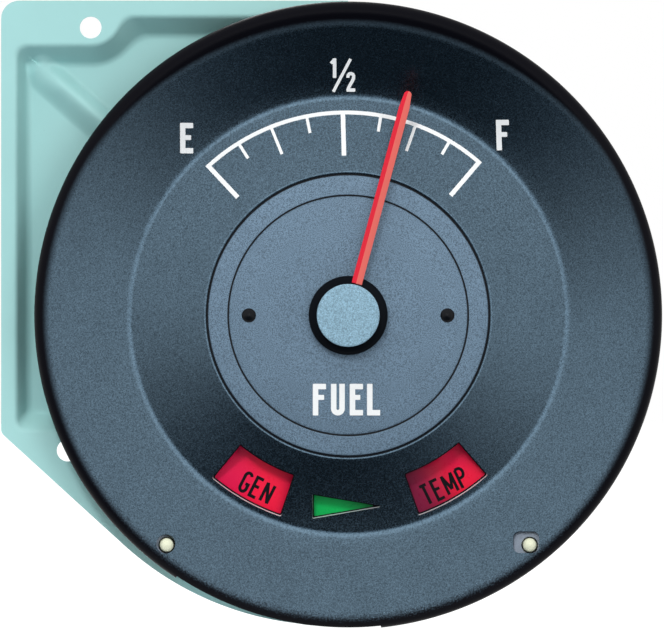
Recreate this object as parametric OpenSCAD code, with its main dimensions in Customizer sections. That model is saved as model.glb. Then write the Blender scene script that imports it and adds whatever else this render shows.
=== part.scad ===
// Round fuel gauge for a car's dashboard: a dished dial on a pressed housing, with a
// two-coil moving-iron movement behind it and three lamps behind tinted windows.
// Pieces are drawn face on: x to the right, y up to twelve o'clock, z towards the viewer.
// The origin is on the pointer's axis, in the front plane of the housing's flange.
// The finished model is turned so that the dial faces -Y and twelve o'clock is +Z.

/* [Dial] */
// Outer radius of the dial's rim
rim_r = 64; // [60:0.5:68]
// Height of the rim's crown in front of the flange
dial_rise = 9; // [8.4:0.1:11]
// Sheet thickness of the dial
dial_t = 0.8; // [0.6:0.1:1]
// Radius that rounds the rim over into its skirt
rim_round = 2.1; // [1.8:0.1:3]
// Radius at which the cone meets the bowl
valley_r = 44.6; // [44:0.2:46]
// Radius that rounds the valley
valley_round = 3; // [2:0.5:5]
// Slope of the outer bowl, in degrees
bowl_slope = 20; // [17:0.5:21]
// Slope of the inner cone, in degrees
cone_slope = 14; // [12:0.5:16]
// Radial cut that relieves the rim at the lower left
rim_relief = 0.4; // [0.2:0.1:0.8]

/* [Centre dial] */
// Radius of the centre dial
centre_r = 28.5; // [27:0.5:29]
// Gap between the centre dial and the dial around it
centre_gap = 0.6; // [0.4:0.1:1]
// Thickness of the centre dial
centre_t = 1; // [0.8:0.1:1.4]
// Radius of the recessed middle of the centre dial
recess_r = 24.4; // [23:0.2:26]
// Depth of that recess
recess_d = 0.25; // [0.1:0.05:0.4]
// Distance of each dial screw from the axis
screw_x = 20.2; // [19:0.2:22]
// Radius of a dial screw's head
screw_head_r = 1.6; // [1.4:0.1:2]

/* [Windows] */
// Inner radius of the warning windows
window_in_r = 34.2; // [33.6:0.2:35]
// Outer radius of the warning windows
window_out_r = 43.3; // [42:0.1:43.4]
// Length of the turn arrow's window
arrow_l = 14.7; // [12:0.1:16]
// Height of the turn arrow's window
arrow_h = 5.1; // [4:0.1:6]
// Thickness of a lens
lens_t = 1.5; // [1:0.1:2]

/* [Pointer] */
// Reach of the pointer's tip from the axis
pointer_tip_r = 47.3; // [42:0.1:50]
// Width of the pointer
pointer_w = 2.15; // [1.8:0.05:2.6]
// Height of the pointer's ridge
pointer_h = 0.9; // [0.6:0.1:1.2]
// Pointer's direction at rest, in degrees clockwise from twelve o'clock
pointer_rest = 15.1; // [-40:0.1:40]
// Radius of the black hub
hub_r = 8.05; // [7.6:0.05:9]
// Radius of the cap on the hub
cap_r = 6.4; // [5.6:0.1:6.6]
// Radius of the pointer's shaft
shaft_r = 0.8; // [0.6:0.05:1]

/* [Housing] */
// Sheet thickness of the housing
housing_t = 1.2; // [1:0.1:1.5]
// Distance from the rim in to the flange's round edge on the centre line
flange_in = 0.4; // [0.2:0.1:0.6]
// Width of the flange past the rim on the left
flange_left_out = 6.9; // [6:0.1:12]
// Depth of the tray beside the dial
tray_d = 7; // [5:0.5:9]
// Distance from the rim in to the can's wall at its mouth
can_in = 10; // [8:0.5:11]
// Depth of the can behind the flange
can_d = 26; // [25:0.5:30]
// Radius of the flange's screw holes
flange_hole_r = 2.225; // [1.8:0.025:2.6]

/* [Movement] */
// Radius of the armature
armature_r = 5.6; // [5:0.1:5.9]
// Radius of a coil's winding
winding_r = 6.4; // [5.5:0.1:6.6]
// Radius of the terminal studs
stud_r = 2.4; // [2:0.1:2.5]
// Length of stud that stands out past its nut
stud_free = 6.8; // [5:0.2:12]

/* [Lamps] */
// Radius of a lamp holder's barrel
barrel_r = 5.9; // [5.6:0.1:6]
// Turn that frees a lamp holder, in degrees
lamp_turn = 60; // [45:5:75]

/* [Hidden] */
$fn = 96;
// Overlap that lets a cut pass clean through a face
eps = 0.5;

// Clearances: between seated sheets, round a turning shaft, where a shaft is pressed in, round
// a fixed pin or rivet, and under the dial's skirt
sheet_gap = 0.3;
run_gap = 0.05;
press_gap = 0.02;
fix_gap = 0.05;
skirt_gap = 0.2;

// Points in the plane
function polar(r, a) = [r * cos(a), r * sin(a)];
function clock(r, a) = polar(r, 90 - a);
function arc(c, r, a0, a1, n = 8) = [for (i = [0:n]) c + polar(r, a0 + (a1 - a0) * i / n)];
// A fillet of radius r where the corner b turns from the edge a-b to the edge b-c
function unit(v) = v / norm(v);
function fillet(a, b, c, r, n = 8) =
    let (u = unit(a - b), v = unit(c - b), half = acos(u * v) / 2,
        reach = r / tan(half), centre = b + unit(u + v) * r / sin(half),
        p = b + u * reach - centre, q = b + v * reach - centre,
        a0 = atan2(p.y, p.x), a1 = atan2(q.y, q.x),
        turn = (a1 - a0 + 540) % 360 - 180)
    arc(centre, r, a0, a0 + turn, n);

// Dial section: the cone falls outwards to the valley, and the bowl rises to the rim
rim_c = [rim_r - rim_round, dial_rise - rim_round];
bowl_top = rim_c + polar(rim_round, 90 + bowl_slope);
valley_z = bowl_top.y - (bowl_top.x - valley_r) * tan(bowl_slope);
valley_c = [valley_r, valley_z]
    + polar(valley_round / cos((bowl_slope + cone_slope) / 2), 90 + (bowl_slope - cone_slope) / 2);
open_r = centre_r + centre_gap;
function cone_z(r) = valley_z + (valley_r - r) * tan(cone_slope);
function bowl_z(r) = valley_z + (r - valley_r) * tan(bowl_slope);
valley_low = valley_c.y - valley_round - dial_t;

// Centre dial, hub and pointer heights
centre_top = cone_z(open_r) + 0.2;
centre_low = centre_top - centre_t;
hub_low = centre_top + 0.4;
hub_t = 2.1;
hub_top = hub_low + hub_t;
cap_t = 1.6;
shaft_hole_r = 3;
screw_r = 0.95;
screw_head_h = 0.9;
screw_l = 4;
centre_edge = 0.35;
hub_bevel = 0.7;
cap_bevel = 0.3;

// Windows and the lamp chute behind them
six_angle = 270;
left_angles = [230, 251.5];
right_angles = [289.4, 311.2];
arrow_x = -7.3;
arrow_y = -38.95;
lamp_ring_r = (window_in_r + window_out_r) / 2;
lamp_angles = [(left_angles[0] + left_angles[1]) / 2, six_angle,
    (right_angles[0] + right_angles[1]) / 2];
chute_wall = 1;
chute_in_r = window_in_r - 2.8;
chute_out_r = window_out_r + 2.9;
chute_half = 46;
split_half = 15;
lens_top = valley_low - 0.37;
chute_top = lens_top - lens_t;
chute_relief = 2.5;
boss_r = 2.6;
boss_l = 12;
boss_turn = 3.4;
boss_angles = [for (side = [-1, 1]) six_angle + side * (chute_half + boss_turn)];
boss_end = 2;
chute_screw_r = 1.3;
chute_screw_tip = 1;
chute_head_r = 2.6;
chute_head_t = 1.6;

// Housing, laid out from the rim and from the flange's top and left edges
flange_r = rim_r - flange_in;
flange_left = rim_r + flange_left_out;
flange_top_out = 0.3;
flange_top = rim_r + flange_top_out;
can_r = rim_r - can_in;
can_floor = -can_d;
can_back = can_floor - housing_t;
can_draft = 1.6;
can_round = 3;
function from_corner(x, y) = [x - flange_left, flange_top - y];
diagonal_top = -24;
// The round flange shifts to the left, and below the tray an arc shifted further carries it on to
// the diagonal edge, which starts at the left edge's lower end and meets that arc as a tangent
round_c = [-1.6, 0];
belly_c = [-3.4, -0.2];
belly_r = flange_r - 0.5;
belly_end = 263;
diagonal_run = [-flange_left, diagonal_top] - belly_c;
belly_start = 360 + atan2(diagonal_run.y, diagonal_run.x) + acos(belly_r / norm(diagonal_run));
corner_r = 3.7;
upper_hole = from_corner(18.3, 5.5);
lower_hole = [from_corner(13.6, 0).x, diagonal_top - 3.6];
tray_edge = 3.2;
tray_left = -flange_left + tray_edge;
tray_right = -8;
tray_top = flange_top - 3.3;
tray_low = diagonal_top + 0.5;
tray_corner = 4;
tray_fillet = 2;
tray_side_draft = 0.8;
tray_end_draft = 2.4;
pad_r = 6.2;
pad_run = 25;
pad_y = upper_hole.y + 2.5;
bead_from = from_corner(8.3, 13.7);
bead_to = bead_from + [17.1, -15];
bead_h = 1.5;
bead_r = 2.9;

// Backing ring under the bowl
ring_in_r = 47;
ring_drop = dial_t + sheet_gap;
ring_t = 0.8;
ring_skirt_r = rim_r - ring_drop;
tab_angles = [75, 25, -25, -75];
tab_w = 5.4;
tab_l = 4;

// Locating posts, and the hole and slot that take them in the dial
post_inset = 4.34;
post_angle = 38.33;
post_at = [for (side = [-1, 1]) polar(rim_r - post_inset, six_angle + side * post_angle)];
post_r = 1.4;
post_body_r = 1.9;
dial_hole_r = 1.94;
hole_shift = [-0.15, 0.25];
slot_size = [5.6, 4];
slot_round = 1.3;
slot_shift = [-0.35, 0.4];

// Movement stack behind the dial
pillar_at = [[-screw_x, 0], [screw_x, 0]];
bearing_r = 2.5;
collar_r = 3.4;
pillar_tail_r = 2;
pillar_r = 3;
pillar_neck_r = 2;
bridge_t = 1.2;
bridge_top = -2;
bridge_low = bridge_top - bridge_t;
bridge_w = 9;
frame_t = 1.2;
frame_top = -20;
frame_low = frame_top - frame_t;
board_t = 2;
board_low = frame_low - board_t;
frame_hub_r = 16;
frame_lug_r = 4.8;
board_r = screw_x + frame_lug_r;
armature_z = -13;
armature_t = 3;
vane_w = 5;
boss_on_shaft = 2;
shaft_low = frame_top - 0.7;
shaft_top = hub_top - 0.8;
shaft_pivot = 0.5;
coil_z = armature_z + armature_t / 2;
bobbin_in = 8;
bobbin_out = 18.6;
bobbin_flange = 0.8;
bobbin_r = winding_r + 0.7;
core_r = 2.4;
core_tail_r = 1.8;
core_head_t = 0.8;
pole_gap = 0.5;
ear_in = bobbin_out + 0.1;
ear_t = 1.2;
ear_w = 13;
arm_top = -6.2;
arm_t = 1;
arm_w = 1.6;
arm_l = 13;
weight_at = 11;
weight_r = 1.9;
weight_h = 2.41;
stop_r = 0.7;
stop_at = 7;
pointer_min = -47;
pointer_max = 44.6;
stop_turn = asin((arm_w / 2 + stop_r + 0.15) / stop_at);
stop_clock = [pointer_min + 180 - stop_turn, pointer_max + 180 + stop_turn];
stud_at = [[-10.5, -9], [10.5, -9], [0, 12]];
// The shank is larger than the free end, so that a terminal slips over the end easily
shank_step = 0.2;
shank_r = stud_r + shank_step;
stud_head_r = 3.6;
stud_head_t = 1;
stud_tip = 0.6;
bush_r = 5.5;
bush_neck_r = 3.9;
washer_r = 6;
washer_t = 1.2;
nut_across = 9.5;
nut_t = 3.2;
nut_low = can_back - washer_t - nut_t;
stud_low = nut_low - stud_free;

// Lamp holders
holder_gap = 0.3;
holder_hole_r = barrel_r + 0.1;
lug_r = barrel_r + 1.6;
lug_span = 36;
lug_t = 1.2;
holder_flange_r = 8.2;
holder_flange_t = 1.4;
knob_r = 6.4;
knob_l = 6;
wing_w = 3.2;
wing_l = 17;
bulb_base_r = 4.3;
bulb_r = 4.9;
bulb_top = -8;
barrel_top = -21;

// Turns a face-on piece so that its front faces -Y
module upright() {
    rotate([90, 0, 0]) children();
}

module sector(r, a0, a1) {
    polygon([[0, 0], polar(2 * r, a0), polar(2 * r, (a0 + a1) / 2), polar(2 * r, a1)]);
}

module ring_sector(r_in, r_out, a0, a1) {
    intersection() {
        difference() {
            circle(r_out);
            circle(r_in);
        }
        sector(r_out, a0, a1);
    }
}

module rod(r, z0, z1) {
    translate([0, 0, z0]) cylinder(r = r, h = z1 - z0);
}

module at(points) {
    for (p = points) translate([p.x, p.y, 0]) children();
}

// Housing

// Drafted tray with rounded corners and a filleted floor, grown by g for its outer skin
module tray_form(g, top) {
    slices = concat([[top, 0, 0], [0, 0, 0]],
        [for (i = [0:3]) let (a = 30 * i)
            [-tray_d + tray_fillet - (tray_fillet + g) * sin(a), 1, (tray_fillet + g) * (1 - cos(a))]]);
    hull() for (s = slices, x = [0, 1], y = [0, 1]) {
        edge_x = x == 0 ? tray_left + tray_side_draft * s[1] + tray_corner : tray_right - tray_corner;
        edge_y = y == 0 ? tray_low + tray_end_draft * s[1] + tray_corner
            : tray_top - tray_end_draft * s[1] - tray_corner;
        translate([edge_x, edge_y, s[0]]) cylinder(r = tray_corner + g - s[2], h = 0.01, $fn = 32);
    }
}

// Flat pad left round the upper screw hole, in the tray's corner
module pad_form(g, top) {
    hull() for (x = [upper_hole.x, upper_hole.x - pad_run]) translate([x, pad_y, -tray_d - 2])
        cylinder(r1 = pad_r + tray_end_draft + g, r2 = pad_r + g, h = tray_d + 2 + top, $fn = 32);
}

module tray(g, top) {
    difference() {
        tray_form(g, top);
        pad_form(-g, top + 0.02);
    }
}

module can_form(g, top) {
    rotate_extrude() polygon(concat(
        [[0, top], [can_r + g, top], [can_r + g, -housing_t]],
        fillet([can_r + g, -housing_t], [can_r + g - can_draft, can_floor - g],
            [0, can_floor - g], can_round + g),
        [[0, can_floor - g]]));
}

module flange_outline() {
    left = -flange_left;
    top = [0, flange_top];
    upper = [left, flange_top];
    lower = [left, diagonal_top];
    belly = arc(belly_c, belly_r, belly_start, belly_end, 10);
    polygon(concat([top], fillet(top, upper, lower, corner_r),
        fillet(upper, lower, belly[0], corner_r / 2), belly,
        arc(round_c, flange_r, belly_end + 0.5, 448.5, 60)));
}

module bead(r) {
    run = bead_to - bead_from;
    translate([bead_from.x, bead_from.y, -tray_d - bead_r + bead_h]) {
        sphere(r);
        rotate([0, 90, atan2(run.y, run.x)]) cylinder(r = r, h = norm(run));
        translate([run.x, run.y, 0]) sphere(r);
    }
}

module tab_slot(a, depth) {
    rotate([0, 0, a]) translate([ring_skirt_r - ring_t - 0.2, -tab_w / 2 - 0.2, -depth])
        cube([6, tab_w + 0.4, 2 * depth]);
}

module housing() color([0.68, 0.85, 0.82]) upright() {
    difference() {
        union() {
            difference() {
                union() {
                    translate([0, 0, -housing_t]) linear_extrude(housing_t) flange_outline();
                    tray(housing_t, -housing_t / 2);
                    can_form(housing_t, -housing_t / 2);
                }
                tray(0, 1);
                can_form(0, 1);
            }
            intersection() {
                bead(bead_r);
                translate([-flange_left, 0, -tray_d - housing_t / 2]) cube([40, 64, tray_d]);
            }
        }
        bead(bead_r - housing_t);
        for (p = [upper_hole, lower_hole]) translate([p.x, p.y, -2]) cylinder(r = flange_hole_r, h = 3);
        at(post_at) rod(post_r + fix_gap, -2, 1);
        for (a = tab_angles) tab_slot(a, 2);
        at(stud_at) rod(bush_neck_r + 0.15, can_back - eps, can_floor + eps);
        at([for (a = boss_angles) polar(lamp_ring_r, a)])
            rod(chute_screw_r + 0.3, can_back - eps, can_floor + eps);
        for (a = lamp_angles) lamp_place(a) {
            rod(holder_hole_r, can_back - eps, can_floor + eps);
            rotate(-lamp_turn) lugs(holder_hole_r - 1, lug_r + 0.2, lug_span + 6,
                can_back - eps, can_floor + eps);
        }
    }
}

// Sheets of the dial: a section that follows the dial at a depth below its front

module sheet_section(depth, t, inner_r, skirt_low) {
    face = valley_round + depth;
    back = face + t;
    round_r = rim_round - depth;
    from_bowl = inner_r > valley_r;
    start = from_bowl ? [[inner_r, bowl_z(inner_r) - depth / cos(bowl_slope)]]
        : concat([[inner_r, cone_z(inner_r) - depth / cos(cone_slope)]],
            arc(valley_c, face, six_angle - cone_slope, six_angle + bowl_slope));
    end = from_bowl ? [[inner_r, bowl_z(inner_r) - (depth + t) / cos(bowl_slope)]]
        : concat(arc(valley_c, back, six_angle + bowl_slope, six_angle - cone_slope),
            [[inner_r, cone_z(inner_r) - (depth + t) / cos(cone_slope)]]);
    polygon(concat(start, arc(rim_c, round_r, 90 + bowl_slope, 0),
        [[rim_r - depth, skirt_low], [rim_r - depth - t, skirt_low]],
        arc(rim_c, max(round_r - t, 0.2), 0, 90 + bowl_slope), end));
}

module warning_window(span) {
    translate([0, 0, -1]) linear_extrude(dial_rise)
        ring_sector(window_in_r, window_out_r, span[0], span[1]);
}

module arrow_window() {
    translate([arrow_x, arrow_y, -1]) linear_extrude(dial_rise)
        polygon([[0, -arrow_h / 2], [arrow_l, 0], [0, arrow_h / 2]]);
}

module rounded_slot(size, r) {
    square([size.x - 2 * r, size.y], center = true);
    square([size.x, size.y - 2 * r], center = true);
    for (x = [-1, 1], y = [-1, 1]) translate([x * (size.x / 2 - r), y * (size.y / 2 - r)]) circle(r);
}

// Height below which the skirt is cut away at the lower left, so the rim ends short by the relief
relief_z = rim_c.y + rim_round * sin(acos((rim_round - rim_relief) / rim_round));
relief_angles = [236.7, 276];

module dial_face() color([0.25, 0.30, 0.35]) upright() {
    difference() {
        rotate_extrude() sheet_section(0, dial_t, open_r, skirt_gap);
        warning_window(left_angles);
        warning_window(right_angles);
        arrow_window();
        at([post_at[0] + hole_shift]) rod(dial_hole_r, 1, dial_rise + 1);
        at([post_at[1] + slot_shift]) translate([0, 0, 1])
            linear_extrude(dial_rise) rounded_slot(slot_size, slot_round);
        translate([0, 0, -1]) linear_extrude(relief_z + 1)
            ring_sector(rim_r - rim_round - 0.4, rim_r + 1, relief_angles[0], relief_angles[1]);
    }
}

module backing_ring() color([0.36, 0.40, 0.44]) upright() {
    difference() {
        rotate_extrude() sheet_section(ring_drop, ring_t, ring_in_r, 0);
        at(post_at) rod(post_r + sheet_gap, 1, dial_rise);
    }
    for (a = tab_angles) rotate([0, 0, a]) {
        translate([ring_skirt_r - ring_t, -tab_w / 2, -housing_t - run_gap - ring_t])
            cube([ring_t, tab_w, housing_t + run_gap + ring_t + 1]);
        translate([ring_skirt_r - tab_l, -tab_w / 2, -housing_t - run_gap - ring_t])
            cube([tab_l, tab_w, ring_t]);
    }
}

module locating_posts() color([0.88, 0.87, 0.76]) upright() {
    post_ring = norm(post_at[0]);
    shoulder = bowl_z(post_ring - post_body_r) - (ring_drop + ring_t) / cos(bowl_slope) - sheet_gap;
    dome_z = bowl_z(post_ring) - 0.2;
    at(post_at) {
        rod(post_body_r, 0, shoulder);
        rod(post_r, -housing_t - 0.1, dome_z);
        translate([0, 0, dome_z]) intersection() {
            sphere(post_r);
            rod(post_r + 1, -eps, post_r);
        }
        rod(2.2, -housing_t - 1, -housing_t);
    }
}

// Centre dial

module centre_dial() color([0.42, 0.46, 0.49]) upright() {
    difference() {
        rotate_extrude() polygon([[shaft_hole_r, centre_low], [centre_r, centre_low],
            [centre_r, centre_top - centre_edge], [centre_r - centre_edge, centre_top],
            [recess_r + 0.15, centre_top], [recess_r, centre_top - recess_d],
            [shaft_hole_r, centre_top - recess_d]]);
        at(pillar_at) rod(screw_r + fix_gap, centre_low - 1, centre_top + 1);
    }
}

module centre_dial_screws() color([0.08, 0.08, 0.09]) upright() {
    seat = centre_top - recess_d;
    dome_r = (pow(screw_head_r, 2) + pow(screw_head_h, 2)) / (2 * screw_head_h);
    at(pillar_at) {
        rod(screw_r, centre_low - screw_l, seat);
        intersection() {
            rod(screw_head_r, seat, seat + screw_head_h);
            translate([0, 0, seat + screw_head_h - dome_r]) sphere(dome_r);
        }
    }
}

// Pointer body

module pointer_turn() {
    upright() rotate([0, 0, -pointer_rest]) children();
}

// Roof-shaped bar with its ridge left of the middle, tapered to a round tip
module pointer() color([0.88, 0.22, 0.22]) pointer_turn() {
    ridge = -0.1 * pointer_w;
    tip_round = 0.36 * pointer_w;
    taper = 3.4;
    root = cap_r + 0.25;
    half = pointer_w / 2;
    intersection() {
        translate([0, root, hub_top]) rotate([90, 0, 180]) mirror([1, 0, 0])
            linear_extrude(pointer_tip_r - root)
                polygon([[-half, 0], [half, 0], [half, 0.25], [ridge, pointer_h], [-half, 0.25]]);
        translate([0, 0, hub_top - 1]) linear_extrude(pointer_h + 2)
            polygon(concat([[-half, root - 1], [half, root - 1], [half, pointer_tip_r - taper]],
                arc([0, pointer_tip_r - tip_round], tip_round, 10, 170),
                [[-half, pointer_tip_r - taper]]));
    }
}

module pointer_hub() color([0.05, 0.05, 0.06]) pointer_turn() {
    difference() {
        rotate_extrude() polygon([[0, hub_low], [hub_r, hub_low], [hub_r, hub_top - hub_bevel],
            [hub_r - hub_bevel, hub_top], [0, hub_top]]);
        rod(shaft_r + press_gap, hub_low - 1, shaft_top + 0.2);
    }
}

module hub_cap() color([0.45, 0.52, 0.56]) pointer_turn() {
    rotate_extrude() polygon([[0, hub_top], [cap_r, hub_top], [cap_r, hub_top + cap_t - cap_bevel],
        [cap_r - cap_bevel, hub_top + cap_t], [0, hub_top + cap_t]]);
}

module pointer_shaft() color([0.75, 0.76, 0.78]) pointer_turn() {
    rotate_extrude() polygon([[0, shaft_low], [shaft_r - shaft_pivot, shaft_low],
        [shaft_r, shaft_low + shaft_pivot], [shaft_r, shaft_top], [0, shaft_top]]);
}

module armature() color([0.55, 0.56, 0.58]) pointer_turn() {
    difference() {
        translate([0, 0, armature_z]) linear_extrude(armature_t) {
            intersection() {
                circle(armature_r);
                square([vane_w, 3 * armature_r], center = true);
            }
            circle(boss_on_shaft);
        }
        rod(shaft_r + press_gap, armature_z - 1, armature_z + armature_t + 1);
    }
}

module balance_arm() color([0.72, 0.70, 0.60]) pointer_turn() {
    difference() {
        union() {
            translate([-arm_w / 2, -arm_l, arm_top - arm_t]) cube([arm_w, arm_l, arm_t]);
            rod(boss_on_shaft, arm_top - arm_t - 1, arm_top);
        }
        rod(shaft_r + press_gap, arm_top - arm_t - 2, arm_top + 1);
    }
}

module balance_weight() color([0.80, 0.66, 0.35]) pointer_turn() {
    translate([0, -weight_at, 0]) rod(weight_r, arm_top - arm_t - weight_h, arm_top - arm_t);
}

// Movement

module coil_place(side) {
    translate([0, 0, coil_z]) rotate([0, 0, 90 - side * 45]) rotate([0, 90, 0]) children();
}

module movement_frame() color([0.74, 0.73, 0.66]) upright() {
    arm_reach = ear_in + ear_t;
    difference() {
        union() {
            translate([0, 0, frame_low]) linear_extrude(frame_t) {
                circle(frame_hub_r);
                square([2 * screw_x, 2 * frame_lug_r], center = true);
                at(pillar_at) circle(frame_lug_r);
                for (side = [-1, 1]) rotate(90 - side * 45) translate([0, -ear_w / 2])
                    square([arm_reach, ear_w]);
            }
            for (side = [-1, 1]) rotate([0, 0, 90 - side * 45])
                translate([ear_in, -ear_w / 2, frame_low]) {
                    cube([ear_t, ear_w, coil_z - frame_low]);
                    translate([0, ear_w / 2, coil_z - frame_low]) rotate([0, 90, 0])
                        cylinder(r = ear_w / 2, h = ear_t);
                }
        }
        for (side = [-1, 1]) coil_place(side) rod(core_tail_r + fix_gap, ear_in - 1, ear_in + ear_t + 1);
        at(pillar_at) rod(pillar_tail_r + fix_gap, frame_low - 1, frame_top + 1);
        at(stud_at) rod(stud_head_r + 1, frame_low - 1, frame_top + 1);
        rod(bearing_r + fix_gap, frame_low - 1, frame_top + 1);
    }
}

module frame_pillars() color([0.78, 0.78, 0.76]) upright() {
    at(pillar_at) difference() {
        union() {
            rod(pillar_r, frame_top, bridge_low);
            rod(pillar_neck_r, bridge_low, centre_low);
            rod(pillar_tail_r, board_low, frame_top);
            rod(pillar_r, board_low - 0.8, board_low);
        }
        rod(screw_r + fix_gap, centre_low - screw_l - 1, centre_low + 1);
    }
}

module front_bridge() color([0.74, 0.73, 0.66]) upright() {
    difference() {
        translate([0, 0, bridge_low]) linear_extrude(bridge_t) {
            square([2 * screw_x, bridge_w], center = true);
            at(pillar_at) circle(bridge_w / 2);
        }
        at(pillar_at) rod(pillar_neck_r + fix_gap, bridge_low - 1, bridge_top + 1);
        rod(bearing_r + fix_gap, bridge_low - 1, bridge_top + 1);
        at([for (a = stop_clock) clock(stop_at, a)]) rod(stop_r + fix_gap, bridge_low - 1, bridge_top + 1);
    }
}

// Two pins that stop the balance arm at the ends of the pointer's travel
module pointer_stops() color([0.60, 0.60, 0.62]) upright() {
    at([for (a = stop_clock) clock(stop_at, a)]) rod(stop_r, arm_top - arm_t - 0.6, bridge_top);
}

module bearing(z0, z1, bore_z0, bore_z1, collar_z) {
    difference() {
        union() {
            rod(bearing_r, z0, z1);
            rod(collar_r, collar_z, collar_z + 0.9);
        }
        rod(shaft_r + run_gap, bore_z0, bore_z1);
    }
}

module front_bearing() color([0.80, 0.66, 0.35]) upright() {
    bearing(bridge_low - 1, bridge_top + 0.5, bridge_low - 2, bridge_top + 2, bridge_top);
}

module rear_bearing() color([0.80, 0.66, 0.35]) upright() {
    bearing(board_low + 0.2, frame_top + 0.5, frame_top - 1, frame_top + 2, frame_top);
}

module coil_bobbin(side) color([0.22, 0.20, 0.19]) upright() coil_place(side) {
    difference() {
        union() {
            translate([0, 0, bobbin_in]) cylinder(r = bobbin_r, h = bobbin_flange);
            translate([0, 0, bobbin_out - bobbin_flange]) cylinder(r = bobbin_r, h = bobbin_flange);
            translate([0, 0, bobbin_in]) cylinder(r = core_r + 0.8, h = bobbin_out - bobbin_in);
        }
        translate([0, 0, bobbin_in - 1]) cylinder(r = core_r + fix_gap, h = bobbin_out - bobbin_in + 2);
    }
}

module coil_winding(side) color([0.72, 0.40, 0.20]) upright() coil_place(side) {
    difference() {
        translate([0, 0, bobbin_in + bobbin_flange])
            cylinder(r = winding_r, h = bobbin_out - bobbin_in - 2 * bobbin_flange);
        translate([0, 0, bobbin_in - 1]) cylinder(r = core_r + 0.8 + fix_gap, h = bobbin_out);
    }
}

module coil_core(side) color([0.60, 0.61, 0.63]) upright() coil_place(side) {
    translate([0, 0, armature_r + pole_gap]) cylinder(r = core_r, h = ear_in - armature_r - pole_gap);
    translate([0, 0, ear_in - 0.1]) cylinder(r = core_tail_r, h = ear_t + 0.2);
    translate([0, 0, ear_in + ear_t]) cylinder(r = core_r + 0.6, h = core_head_t);
}

module empty_coil_bobbin() coil_bobbin(-1);
module empty_coil_winding() coil_winding(-1);
module empty_coil_core() coil_core(-1);
module full_coil_bobbin() coil_bobbin(1);
module full_coil_winding() coil_winding(1);
module full_coil_core() coil_core(1);

module terminal_board() color([0.42, 0.26, 0.14]) upright() {
    difference() {
        rod(board_r, board_low, frame_low);
        at(pillar_at) rod(pillar_tail_r + fix_gap, board_low - 1, frame_low + 1);
        at(stud_at) rod(shank_r + fix_gap, board_low - 1, frame_low + 1);
        rod(bearing_r + fix_gap, board_low - 1, frame_low + 1);
    }
}

module terminal_studs() color([0.80, 0.68, 0.38]) upright() {
    at(stud_at) {
        rod(stud_head_r, frame_low, frame_low + stud_head_t);
        rotate_extrude() polygon([[0, stud_low], [stud_r - stud_tip, stud_low],
            [stud_r, stud_low + stud_tip], [stud_r, nut_low], [shank_r, nut_low],
            [shank_r, frame_low + 0.1], [0, frame_low + 0.1]]);
    }
}

module stud_bushes() color([0.30, 0.22, 0.16]) upright() {
    at(stud_at) difference() {
        union() {
            rod(bush_r, can_floor, board_low);
            rod(bush_neck_r, can_back, can_floor);
        }
        rod(shank_r + fix_gap, can_back - 1, board_low + 1);
    }
}

module terminal_washers() color([0.40, 0.25, 0.15]) upright() {
    at(stud_at) difference() {
        rod(washer_r, can_back - washer_t, can_back);
        rod(shank_r + fix_gap, can_back - washer_t - 1, can_back + 1);
    }
}

module terminal_nuts() color([0.80, 0.68, 0.38]) upright() {
    at(stud_at) difference() {
        translate([0, 0, nut_low]) cylinder(r = nut_across / 2 / cos(30), h = nut_t, $fn = 6);
        rod(shank_r + fix_gap, nut_low - 1, nut_low + nut_t + 1);
    }
}

// Lamps

module lamp_place(a) {
    spot = polar(lamp_ring_r, a);
    translate([spot.x, spot.y, 0]) children();
}

module lugs(r_in, r_out, span, z0, z1) {
    for (side = [0, 180]) translate([0, 0, z0]) linear_extrude(z1 - z0)
        ring_sector(r_in, r_out, side - span / 2, side + span / 2);
}

module chute_cell(a0, a1) {
    in_r = chute_in_r + chute_wall;
    out_r = chute_out_r - chute_wall;
    edge = asin(chute_wall / 2 / lamp_ring_r);
    ring_sector(in_r, out_r, a0 + edge, a1 - edge);
}

// Light box with a cell for each lamp, open at both ends, on four radial feet
module lamp_chute() color([0.90, 0.90, 0.86]) upright() {
    walls = [for (turn = [-chute_half, -split_half, split_half, chute_half]) six_angle + turn];
    edge = asin(chute_wall / 2 / lamp_ring_r);
    difference() {
        union() {
            translate([0, 0, can_floor]) linear_extrude(chute_top - can_floor)
                ring_sector(chute_in_r, chute_out_r, walls[0] - edge, walls[3] + edge);
            at([for (a = boss_angles) polar(lamp_ring_r, a)]) rod(boss_r, can_floor, can_floor + boss_l);
        }
        for (i = [0:2]) {
            translate([0, 0, can_floor - 1]) linear_extrude(chute_top - can_floor + 2)
                chute_cell(walls[i], walls[i + 1]);
            translate([0, 0, can_floor - 1]) linear_extrude(chute_relief + 1)
                ring_sector(chute_in_r - 1, chute_out_r + 1, walls[i] + 2 * edge, walls[i + 1] - 2 * edge);
        }
        at([for (a = boss_angles) polar(lamp_ring_r, a)])
            rod(chute_screw_r + fix_gap, can_floor - 1, can_floor + boss_l - boss_end);
    }
}

module chute_screws() color([0.74, 0.73, 0.66]) upright() {
    at([for (a = boss_angles) polar(lamp_ring_r, a)]) {
        rod(chute_screw_r, can_back - 0.1, can_floor + boss_l - boss_end - chute_screw_tip);
        rod(chute_head_r, can_back - chute_head_t, can_back);
    }
}

module lens(turn0, turn1) {
    trim = 0.35;
    translate([0, 0, chute_top]) linear_extrude(lens_t) ring_sector(chute_in_r + 0.3,
        chute_out_r - 0.3, six_angle + turn0 + trim, six_angle + turn1 - trim);
}

module left_lens() color([0.85, 0.10, 0.20]) upright() lens(-chute_half, -split_half);
module arrow_lens() color([0.10, 0.65, 0.30]) upright() lens(-split_half, split_half);
module right_lens() color([0.85, 0.10, 0.20]) upright() lens(split_half, chute_half);

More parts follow.
